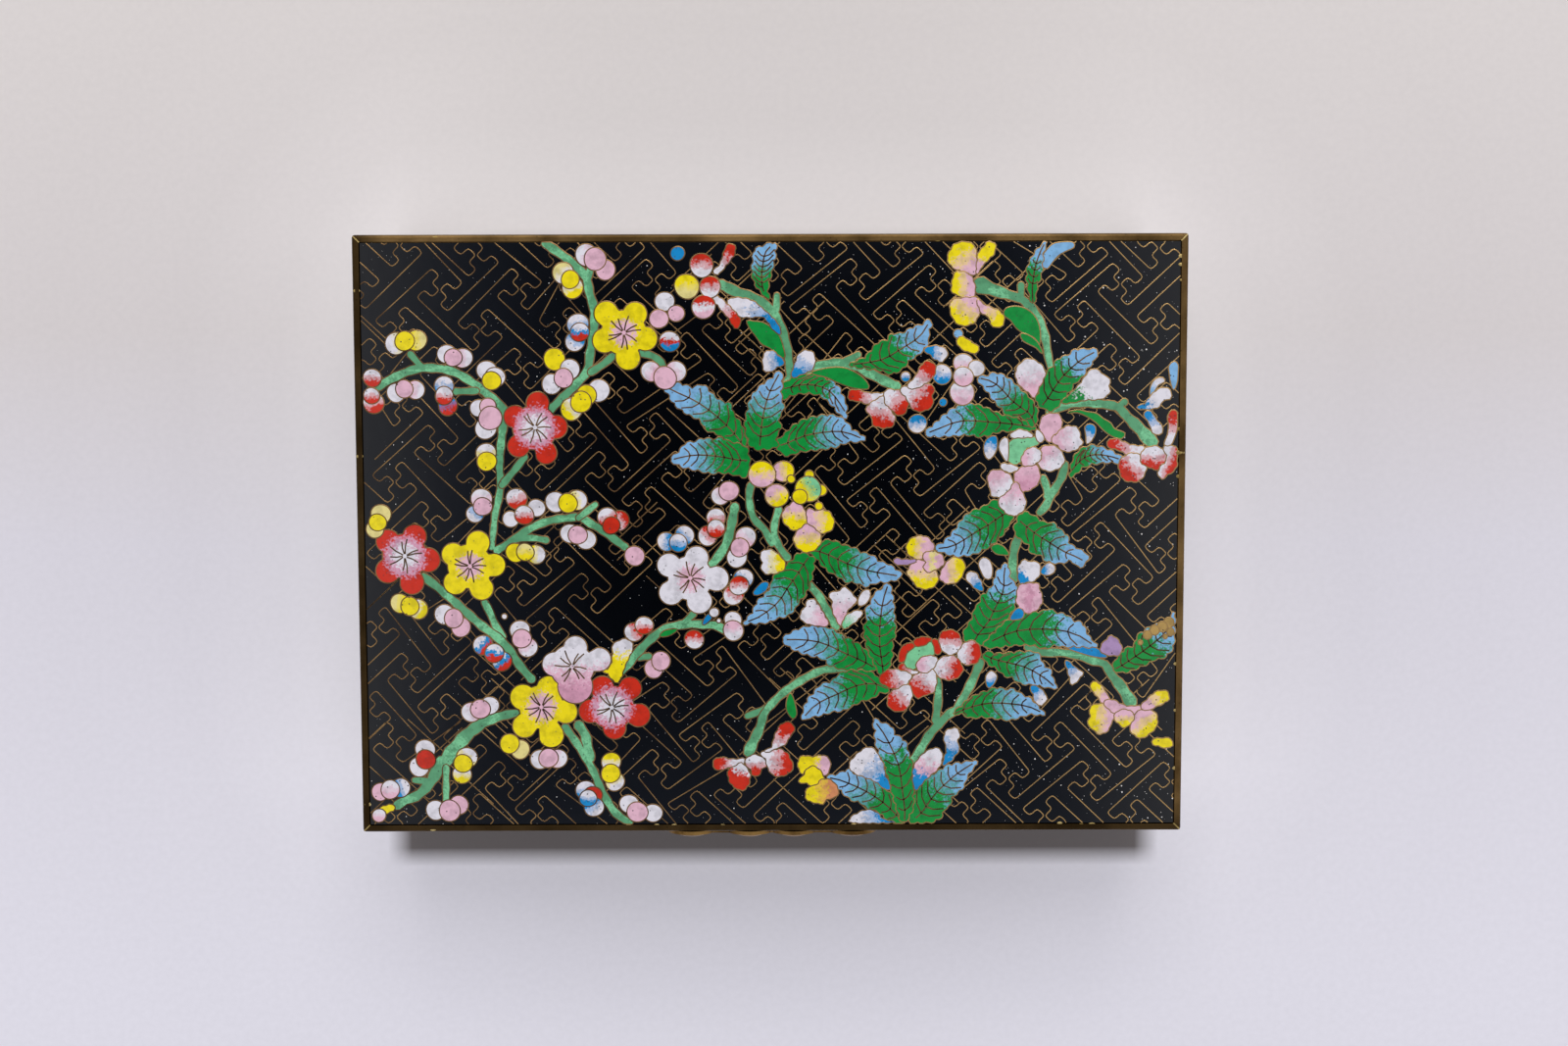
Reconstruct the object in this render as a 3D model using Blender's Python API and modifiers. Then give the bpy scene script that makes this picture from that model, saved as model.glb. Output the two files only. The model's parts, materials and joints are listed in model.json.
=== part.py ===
"""Cloisonne enamel box: a brass tray with a lift-off brass lid, both set with enamel panels.

The box stands on the rim under its base. +Z is up, +X runs along the long side, and -Y is
the front, which carries the lobed finger lift. All sizes are in metres.
"""

import bpy

# The box as a whole.
LENGTH = 0.1400
WIDTH = 0.1016
LID_HEIGHT = 0.0140
BODY_HEIGHT = 0.0330
LID_SEAT_GAP = 0.0003

# Brass sheet, and the enamel fused into the shallow beds in its faces.
PLATE = 0.0012
ENAMEL = 0.0008
ENAMEL_SUNK = 0.0001
ENAMEL_GAP = 0.0002
LINING = 0.0006

# Brass that stays bare round the enamel.
LID_RIM = 0.00115
BED_LAND = 0.0009
RIM_BEVEL = 0.00045
CORNER_BEVEL = 0.0004

# The collar inside the body's mouth, which keeps the lid in its place.
COLLAR_HEIGHT = 0.0030
COLLAR_DEPTH = 0.0040
COLLAR_SHEET = 0.0010
COLLAR_CLEARANCE = 0.0003
COLLAR_BEVEL = 0.0003

# The rim that the box stands on.
FOOT_HEIGHT = 0.0027
FOOT_INSET = 0.0020
FOOT_WIDTH = 0.0030

# The finger lift on the lid's front: four domes on a lobed plate.
DOME_RADIUS = 0.0035
DOME_PROUD = 0.0018
DOME_INNER_OFFSET = 0.0038
DOME_OUTER_OFFSET = 0.0138
DOME_DROP = 0.0047
LOBE_FLANGE = 0.0007
LIFT_PLATE = 0.0006
LIFT_BAR = 0.0044
LIFT_GAP = 0.0002

# How far a cutter runs past the face that it opens.
OVERCUT = 0.0010

# What follows from the sizes above.
BED = ENAMEL + ENAMEL_SUNK + ENAMEL_GAP
WALL = BED + PLATE
EDGE_BAND = BED + BED_LAND
BODY_LOW = FOOT_HEIGHT
BODY_TOP = BODY_LOW + BODY_HEIGHT
LID_LOW = BODY_TOP + LID_SEAT_GAP
LID_TOP = LID_LOW + LID_HEIGHT
BASE_BED = LINING + ENAMEL_SUNK + ENAMEL_GAP
FLOOR_TOP = BODY_LOW + BASE_BED + PLATE
COLLAR_OUTER = WALL + COLLAR_CLEARANCE
COLLAR_INNER = COLLAR_OUTER + COLLAR_SHEET
COLLAR_LOW = BODY_TOP - COLLAR_DEPTH
COLLAR_TOP = BODY_TOP + COLLAR_HEIGHT
LID_CEILING = LID_TOP - WALL
FOOT_INNER = FOOT_INSET + FOOT_WIDTH
DOME_Z = LID_TOP - DOME_DROP

SIDES = {
    "front": (0, -1),
    "back": (0, 1),
    "left": (-1, 0),
    "right": (1, 0),
}


class Workshop:
    """The two collections, and the empty that every piece and cutter is placed on."""

    def __init__(self):
        for obj in list(bpy.data.objects):
            bpy.data.objects.remove(obj, do_unlink=True)
        self.parts = bpy.data.collections.new("cloisonne_box")
        self.cutters = bpy.data.collections.new("cutters")
        bpy.context.scene.collection.children.link(self.parts)
        bpy.context.scene.collection.children.link(self.cutters)
        # The lift stands out at the front only, so the walls stand half of that further back
        # and the origin stays in the middle of the whole.
        self.centre = bpy.data.objects.new("box_centre", None)
        self.centre.location = (0, DOME_PROUD / 2, 0)
        self.parts.objects.link(self.centre)

    def adopt(self, obj, name, helper):
        """Names an object, puts it in its collection and places it on the centre."""
        obj.name = name
        obj.data.name = name
        for collection in list(obj.users_collection):
            collection.objects.unlink(obj)
        (self.cutters if helper else self.parts).objects.link(obj)
        obj.parent = self.centre
        obj.hide_render = helper
        obj.display_type = "WIRE" if helper else "TEXTURED"
        return obj

    def block(self, name, centre, size, helper=False):
        """A rectangular block with its scale applied."""
        bpy.ops.mesh.primitive_cube_add(size=1.0, location=centre)
        obj = bpy.context.active_object
        obj.scale = size
        bpy.ops.object.transform_apply(location=False, rotation=False, scale=True)
        return self.adopt(obj, name, helper)

    def inset_block(self, name, inset, low, high, helper=False):
        """A block on the box's plan, pulled in by inset all round, from height low to high."""
        size = (LENGTH - 2 * inset, WIDTH - 2 * inset, high - low)
        return self.block(name, (0, 0, (low + high) / 2), size, helper)

    def side_block(self, name, side, outer, inner, low, high, border, helper=False):
        """A block that lies in one side wall, between two insets and two heights."""
        x, y = SIDES[side]
        middle = (outer + inner) / 2
        centre = (x * (LENGTH / 2 - middle), y * (WIDTH / 2 - middle), (low + high) / 2)
        depth = inner - outer
        across = (WIDTH if x else LENGTH) - 2 * border
        size = (depth, across, high - low) if x else (across, depth, high - low)
        return self.block(name, centre, size, helper)

    def disc(self, name, x, z, radius, back, front, helper=False):
        """A round plate that stands against the front wall, its axis along Y."""
        bpy.ops.mesh.primitive_cylinder_add(
            vertices=48,
            radius=radius,
            depth=front - back,
            location=(x, -WIDTH / 2 - (back + front) / 2, z),
            rotation=(1.5707963267948966, 0, 0),
        )
        obj = bpy.context.active_object
        bpy.ops.object.transform_apply(location=False, rotation=True, scale=False)
        return self.adopt(obj, name, helper)

    def dome(self, name, x, z, helper=False):
        """A round-based ellipsoid with its middle on the plate's back face."""
        bpy.ops.mesh.primitive_uv_sphere_add(
            segments=32,
            ring_count=16,
            radius=1.0,
            location=(x, -WIDTH / 2 - LIFT_GAP, z),
        )
        obj = bpy.context.active_object
        obj.scale = (DOME_RADIUS, DOME_PROUD - LIFT_GAP, DOME_RADIUS)
        bpy.ops.object.transform_apply(location=False, rotation=False, scale=True)
        return self.adopt(obj, name, helper)


def combine(target, other, operation):
    """Adds one Boolean step to the target."""
    modifier = target.modifiers.new(f"{operation.lower()}_{other.name}", "BOOLEAN")
    modifier.operation = operation
    modifier.object = other
    modifier.solver = "EXACT"


def bevel_edges(obj, width, segments, chosen):
    """Bevels the edges for which chosen, given both ends, is true."""
    weights = obj.data.attributes.new("bevel_weight_edge", "FLOAT", "EDGE")
    for edge in obj.data.edges:
        ends = [obj.data.vertices[index].co for index in edge.vertices]
        weights.data[edge.index].value = 1.0 if chosen(*ends) else 0.0
    modifier = obj.modifiers.new("edge_bevel", "BEVEL")
    modifier.limit_method = "WEIGHT"
    modifier.width = width
    modifier.segments = segments


def is_upright(a, b):
    return abs(a.z - b.z) > abs(a.x - b.x) + abs(a.y - b.y)


def is_top(a, b):
    return a.z > 0 and b.z > 0


def is_foot_edge(a, b):
    return a.z < 0 and b.z < 0


def paint(obj, name, colour, roughness, metallic):
    """Gives one piece its own Principled material."""
    material = bpy.data.materials.new(name)
    material.use_nodes = True
    shader = material.node_tree.nodes["Principled BSDF"]
    shader.inputs["Base Color"].default_value = (*colour, 1)
    shader.inputs["Roughness"].default_value = roughness
    shader.inputs["Metallic"].default_value = metallic
    material.diffuse_color = (*colour, 1)
    obj.data.materials.append(material)
    return obj


def paint_brass(obj):
    return paint(obj, f"{obj.name}_brass", (0.42, 0.27, 0.10), 0.32, 1.0)


def paint_black_enamel(obj):
    return paint(obj, f"{obj.name}_black", (0.006, 0.008, 0.016), 0.12, 0.0)


def paint_blue_enamel(obj):
    return paint(obj, f"{obj.name}_blue", (0.03, 0.33, 0.45), 0.18, 0.0)


def cut_side_beds(shop, case, prefix, low, high):
    """Sinks one bed in each side wall of a case that runs from height low to high."""
    for side in SIDES:
        bed = shop.side_block(
            f"{prefix}_{side}_bed",
            side,
            -OVERCUT,
            BED,
            low + EDGE_BAND,
            high - EDGE_BAND,
            EDGE_BAND,
            helper=True,
        )
        combine(case, bed, "DIFFERENCE")


def fill_side_beds(shop, prefix, low, high):
    """Lays one enamel panel in each side bed, clear of the brass all round."""
    for side in SIDES:
        panel = shop.side_block(
            f"{prefix}_{side}_enamel",
            side,
            ENAMEL_SUNK,
            ENAMEL_SUNK + ENAMEL,
            low + EDGE_BAND + ENAMEL_GAP,
            high - EDGE_BAND - ENAMEL_GAP,
            EDGE_BAND + ENAMEL_GAP,
        )
        paint_black_enamel(panel)


def make_body_case(shop):
    """The brass tray: four walls, the floor, the foot rim and the collar for the lid."""
    case = shop.inset_block("body_case", 0, BODY_LOW, BODY_TOP)
    bevel_edges(case, CORNER_BEVEL, 2, is_upright)

    foot = shop.inset_block("body_foot", FOOT_INSET, 0, BODY_LOW + BASE_BED, helper=True)
    bevel_edges(foot, CORNER_BEVEL, 2, is_foot_edge)
    combine(case, foot, "UNION")

    collar = shop.inset_block(
        "body_collar",
        COLLAR_OUTER,
        COLLAR_LOW,
        COLLAR_TOP,
        helper=True,
    )
    bevel_edges(collar, COLLAR_BEVEL, 2, is_top)
    combine(case, collar, "UNION")

    cavity = shop.inset_block("body_cavity", WALL, FLOOR_TOP, COLLAR_LOW, helper=True)
    combine(case, cavity, "DIFFERENCE")
    mouth = shop.inset_block(
        "body_mouth",
        COLLAR_INNER,
        COLLAR_LOW - OVERCUT,
        COLLAR_TOP + OVERCUT,
        helper=True,
    )
    combine(case, mouth, "DIFFERENCE")
    underside = shop.inset_block(
        "body_underside",
        FOOT_INNER,
        -OVERCUT,
        BODY_LOW + BASE_BED,
        helper=True,
    )
    combine(case, underside, "DIFFERENCE")

    cut_side_beds(shop, case, "body", BODY_LOW, BODY_TOP)
    paint_brass(case)


def make_lid_case(shop):
    """The brass lid: a top plate with a bevelled rim, and four short walls."""
    case = shop.inset_block("lid_case", 0, LID_LOW, LID_TOP)
    bevel_edges(case, RIM_BEVEL, 2, lambda a, b: is_top(a, b) or is_upright(a, b))

    cavity = shop.inset_block(
        "lid_cavity",
        WALL,
        LID_LOW - OVERCUT,
        LID_CEILING,
        helper=True,
    )
    combine(case, cavity, "DIFFERENCE")
    bed = shop.inset_block(
        "lid_top_bed",
        LID_RIM,
        LID_TOP - BED,
        LID_TOP + OVERCUT,
        helper=True,
    )
    combine(case, bed, "DIFFERENCE")

    cut_side_beds(shop, case, "lid", LID_LOW, LID_TOP)
    paint_brass(case)


def make_lid_top_enamel(shop):
    """The decorated panel in the lid's top."""
    panel = shop.inset_block(
        "lid_top_enamel",
        LID_RIM + ENAMEL_GAP,
        LID_TOP - ENAMEL_SUNK - ENAMEL,
        LID_TOP - ENAMEL_SUNK,
    )
    paint_black_enamel(panel)


def make_base_enamel(shop):
    """The plain enamel under the floor, inside the foot rim."""
    low = BODY_LOW + ENAMEL_SUNK
    panel = shop.inset_block("base_enamel", FOOT_INNER + ENAMEL_GAP, low, low + LINING)
    paint_blue_enamel(panel)


def make_lining(shop, name, low, high, hollow_low, hollow_high):
    """A thin coat inside a case: a block less the room that it leaves free."""
    outer = WALL + ENAMEL_GAP
    coat = shop.inset_block(name, outer, low, high)
    room = shop.inset_block(
        f"{name}_room",
        outer + LINING,
        hollow_low,
        hollow_high,
        helper=True,
    )
    combine(coat, room, "DIFFERENCE")
    paint_blue_enamel(coat)


def make_linings(shop):
    """The enamel inside the body, up to the collar, and inside the lid, down to the collar."""
    body_low = FLOOR_TOP + ENAMEL_GAP
    body_high = COLLAR_LOW - ENAMEL_GAP
    make_lining(
        shop,
        "body_lining",
        body_low,
        body_high,
        body_low + LINING,
        body_high + OVERCUT,
    )
    lid_low = COLLAR_TOP + COLLAR_CLEARANCE
    lid_high = LID_CEILING - ENAMEL_GAP
    make_lining(
        shop,
        "lid_lining",
        lid_low,
        lid_high,
        lid_low - OVERCUT,
        lid_high - LINING,
    )


def make_finger_lift(shop):
    """Four domes on a plate with a lobe behind each, held against the lid's front wall."""
    lift = shop.block(
        "finger_lift",
        (0, -WIDTH / 2 - LIFT_GAP - LIFT_PLATE / 2, DOME_Z),
        (2 * DOME_OUTER_OFFSET, LIFT_PLATE, LIFT_BAR),
    )
    places = (-DOME_OUTER_OFFSET, -DOME_INNER_OFFSET, DOME_INNER_OFFSET, DOME_OUTER_OFFSET)
    for number, x in enumerate(places, start=1):
        lobe = shop.disc(
            f"lift_lobe_{number}",
            x,
            DOME_Z,
            DOME_RADIUS + LOBE_FLANGE,
            LIFT_GAP,
            LIFT_GAP + LIFT_PLATE,
            helper=True,
        )
        combine(lift, lobe, "UNION")
        dome = shop.dome(f"lift_dome_{number}", x, DOME_Z, helper=True)
        combine(lift, dome, "UNION")
    wall_side = shop.block(
        "lift_wall_side",
        (0, -WIDTH / 2 - LIFT_GAP + DOME_PROUD, DOME_Z),
        (4 * DOME_OUTER_OFFSET, 2 * DOME_PROUD, 4 * DOME_RADIUS),
        helper=True,
    )
    combine(lift, wall_side, "DIFFERENCE")
    lift.data.shade_smooth()
    lift.data.set_sharp_from_angle(angle=0.6)
    paint_brass(lift)


def main():
    shop = Workshop()
    make_body_case(shop)
    make_lid_case(shop)
    make_lid_top_enamel(shop)
    fill_side_beds(shop, "lid", LID_LOW, LID_TOP)
    fill_side_beds(shop, "body", BODY_LOW, BODY_TOP)
    make_base_enamel(shop)
    make_linings(shop)
    make_finger_lift(shop)


if __name__ == "__main__":
    main()
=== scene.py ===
"""The looks of the cloisonne enamel box: inlaid wires, enamel cells, materials, light and camera."""

import json
import logging
import math
from dataclasses import dataclass, field
from enum import Enum
from typing import Callable, Dict, List, Optional, Sequence, Tuple

import bpy
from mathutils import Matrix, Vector

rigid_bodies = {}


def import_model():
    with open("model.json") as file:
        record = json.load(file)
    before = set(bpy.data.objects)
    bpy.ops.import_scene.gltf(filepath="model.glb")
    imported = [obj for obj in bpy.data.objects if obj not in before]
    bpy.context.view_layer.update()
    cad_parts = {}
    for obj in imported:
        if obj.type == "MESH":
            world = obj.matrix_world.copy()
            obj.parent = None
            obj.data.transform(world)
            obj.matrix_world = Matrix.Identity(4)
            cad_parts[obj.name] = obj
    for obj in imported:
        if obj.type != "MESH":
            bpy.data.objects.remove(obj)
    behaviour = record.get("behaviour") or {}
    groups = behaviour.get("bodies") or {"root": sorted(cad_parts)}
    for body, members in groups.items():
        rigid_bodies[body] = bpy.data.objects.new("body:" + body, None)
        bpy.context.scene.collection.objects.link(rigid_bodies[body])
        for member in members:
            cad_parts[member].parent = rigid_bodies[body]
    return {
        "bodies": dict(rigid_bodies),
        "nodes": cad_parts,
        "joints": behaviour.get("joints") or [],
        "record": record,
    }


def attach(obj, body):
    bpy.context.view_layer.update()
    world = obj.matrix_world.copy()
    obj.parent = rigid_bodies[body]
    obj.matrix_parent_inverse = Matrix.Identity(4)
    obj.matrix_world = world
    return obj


LOG = logging.getLogger("cloisonne_box")
MM = 0.001
Point = Tuple[float, float]
Colour = Tuple[float, float, float, float]
Tone = Callable[[float, float], Point]


class Layer(Enum):
    """How high each kind of cell lies in the inlay, lowest first."""

    STEM = 1
    LEAF = 3
    FLOWER = 6
    BUD = 9


@dataclass(frozen=True)
class Inlay:
    """Sizes of the inlay in millimetres."""

    half_width: float = 68.65
    half_depth: float = 49.45
    centre_y: float = 0.9
    face_z: float = 49.9
    cell_floor: float = -0.06
    first_top: float = 0.02
    level_rise: float = 0.006
    wire_drop: float = 0.002
    fret_top: float = 0.015
    outline_width: float = 0.42
    fret_width: float = 0.17
    vein_width: float = 0.28
    seam_width: float = 0.22
    seam_top: float = 0.104
    fret_step: float = 1.75
    fret_long: float = 11.5
    fret_bow: float = 0.55
    fret_reach: float = 9.55
    fret_slack: float = 4.5
    fret_room: float = 6.6
    fret_across: float = 7.0
    fret_up: float = 6.5
    fret_gap: float = 0.13
    fret_gap_more: float = 0.11
    notch_out: float = 0.08
    notch_up: float = 0.26
    wire_deep: float = 0.05
    wire_shoulder: float = 0.008
    wire_bevel: float = 0.02
    leaf_wave: float = 1.7
    leaf_wave_height: float = 0.44
    petal_wave: float = 1.5
    petal_wave_height: float = 0.2
    plain_petal: float = 2.6
    plain_leaf: float = 6.0
    stem_swell: float = 0.12
    blossom_heart: float = 3.7
    stamen_reach: float = 2.75
    blossom_points: int = 120
    bud_points: int = 26
    vein_rise: float = 0.001
    vein_least: float = 1.2
    vein_stop: float = 0.35
    vein_lean: float = 0.75


@dataclass(frozen=True)
class Bud:
    """Overlapping discs of enamel, the rear one first: (x, y, radius, colours)."""

    discs: Tuple[Tuple[float, float, float, str], ...]


@dataclass(frozen=True)
class Blossom:
    """One five-petalled flower with wire stamens."""

    colours: str
    centre: Point
    petals: Tuple[Tuple[float, float, float], ...]
    heading: Optional[float] = None
    stamens: int = 10


@dataclass(frozen=True)
class Cell:
    """One enamel cell with its own wire edge; the colours run along the heading, in degrees."""

    colours: str
    heading: float
    outline: Tuple[int, ...]


@dataclass(frozen=True)
class Leaf:
    """A leaf cell with wire veins, shaded from its base to its tip."""

    colours: str
    base: Point
    tip: Point
    outline: Tuple[int, ...]


@dataclass(frozen=True)
class Stem:
    """A branch with an even or changing width."""

    widths: Tuple[float, ...]
    route: Tuple[int, ...]


# Outlines and routes are flat runs of x and y in tenths of a millimetre; all else is in millimetres.
# Where the fret's arms cross, in millimetres from the middle of the lid, for the first hand.
FRET_EVEN: Tuple[Point, ...] = (
    (-56.4, 15.5), (-55.4, 41.6), (-42, 41.7), (-69.2, 42), (-66, 30.1), (-57.7, 2.6), (-27.7, 11),
    (-14.8, 11), (-9.2, 24.1), (-7.8, 36), (-6.8, 46.4), (-19.5, 43.2), (-61.6, -23.3), (-64.3, -35.2),
    (-45.3, -42), (-19.1, -40), (-17.2, -28.4), (-4.6, -30.3), (-30.8, -9.7), (-43.3, -8.4), (14.7, 43.2),
    (1.6, 43.9), (27.9, 42.1), (11.1, 12.1), (23.9, 10.2), (58.6, 42.3), (45.9, 42.8), (38.7, 42.8),
    (58.3, 28.9), (34.9, 35.3), (61.9, 4.7), (48.9, 5), (36.5, 9), (61, -8.4), (47.3, -8), (21.9, -2.2),
    (-2, -17.7), (22, -10.5), (28.7, -14.3), (4.2, -33.3), (15.2, -35.1), (-6.2, -43.3), (40.3, -41.8),
    (54.3, -42.2), (68.2, -42.4), (62, -24.4), (54.6, -28.9),
)

# The same for the other hand.
FRET_ODD: Tuple[Point, ...] = (
    (-63.5, 9.3), (-62.2, 22.2), (-62.5, 35.3), (-48.7, 34.9), (-49.2, 47.4), (-62, 49), (-36, 48.7),
    (-24.7, 49.8), (-33, 17.8), (-20.6, 17.5), (-21.5, 5), (-15.3, 31), (-56.6, -30.3), (-51.3, -47.6),
    (-40.2, -48), (-14.1, -47.2), (-12.1, -35.3), (-9.6, -22.2), (-37, -3.3), (-38, -15.5),
    (-66.8, -15.4), (6.9, 37.4), (9.2, 49.6), (20.9, 36.3), (21.9, 48.7), (16.5, 4.8), (18.5, 17.6),
    (6, 20), (31.6, 16.1), (51.3, 36.1), (52.8, 48.6), (65, 48.3), (65.2, 35.7), (40.8, 28.2),
    (55.3, 10.7), (54.5, -1.2), (67, -3.1), (54.2, -14), (67.5, -15), (29.5, 2.8), (23.3, -29.7),
    (10, -46), (0.6, -49.3), (4, -24.2), (35.6, -35), (48, -35.4), (46.7, -48.2), (61.8, -36.4),
    (61.2, -48.9), (33.8, -46.8),
)

# The five-petalled blossoms: colours from the middle outwards, middle, and the petals' circles.
BLOSSOMS: Tuple[Blossom, ...] = (
    Blossom("wpr", (-39.7, 18.5), ((-39.2, 22.6, 2.05), (-43, 20.3, 2.05), (-42.5, 15.4, 2),
        (-37.9, 14.2, 2), (-36.2, 18.6, 2.1))),
    Blossom("kyy", (-24.6, 34.4), ((-27.5, 37.6, 2.2), (-22.7, 37.5, 2.15), (-21, 33.4, 2.15),
        (-23.95, 30.2, 2.2), (-27.8, 33.1, 2.2))),
    Blossom("wpr", (-62, -3.25), ((-64.8, -0.75, 2.15), (-60.3, 0.1, 2.15), (-58.1, -3.9, 2.2),
        (-60.9, -7.7, 2.2), (-64.9, -5.75, 2.2))),
    Blossom("kyy", (-51, -5), ((-49.6, -1, 2.15), (-53.8, -3, 2.1), (-46.95, -4.8, 2.1),
        (-49.1, -8.75, 2.15), (-53.5, -7.8, 2.15))),
    Blossom("kww", (-13.7, -7.1), ((-12.6, -3.7, 2.15), (-17.3, -4.9, 2.15), (-16.95, -9.6, 2.2),
        (-12.2, -11, 2.3), (-9.3, -7.2, 2.25))),
    Blossom("pkw", (-33.9, -22.2), ((-33.3, -19, 2.15), (-29.3, -21, 2.15), (-36.9, -21.8, 2.2),
        (-33.4, -25.6, 3.1)), heading=90.0),
    Blossom("kyy", (-39.2, -29.2), ((-42.3, -27.5, 2.35), (-37.9, -25.9, 2.2), (-42.1, -32.4, 2.2),
        (-37.6, -34, 2.3), (-35.1, -30, 2.15))),
    Blossom("wpr", (-27.2, -29.3), ((-28.8, -25.9, 2.15), (-24.1, -26, 2.1), (-22.7, -30.6, 2.15),
        (-26.8, -32.8, 2.1), (-30.8, -29.9, 2.15))),
)

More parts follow.
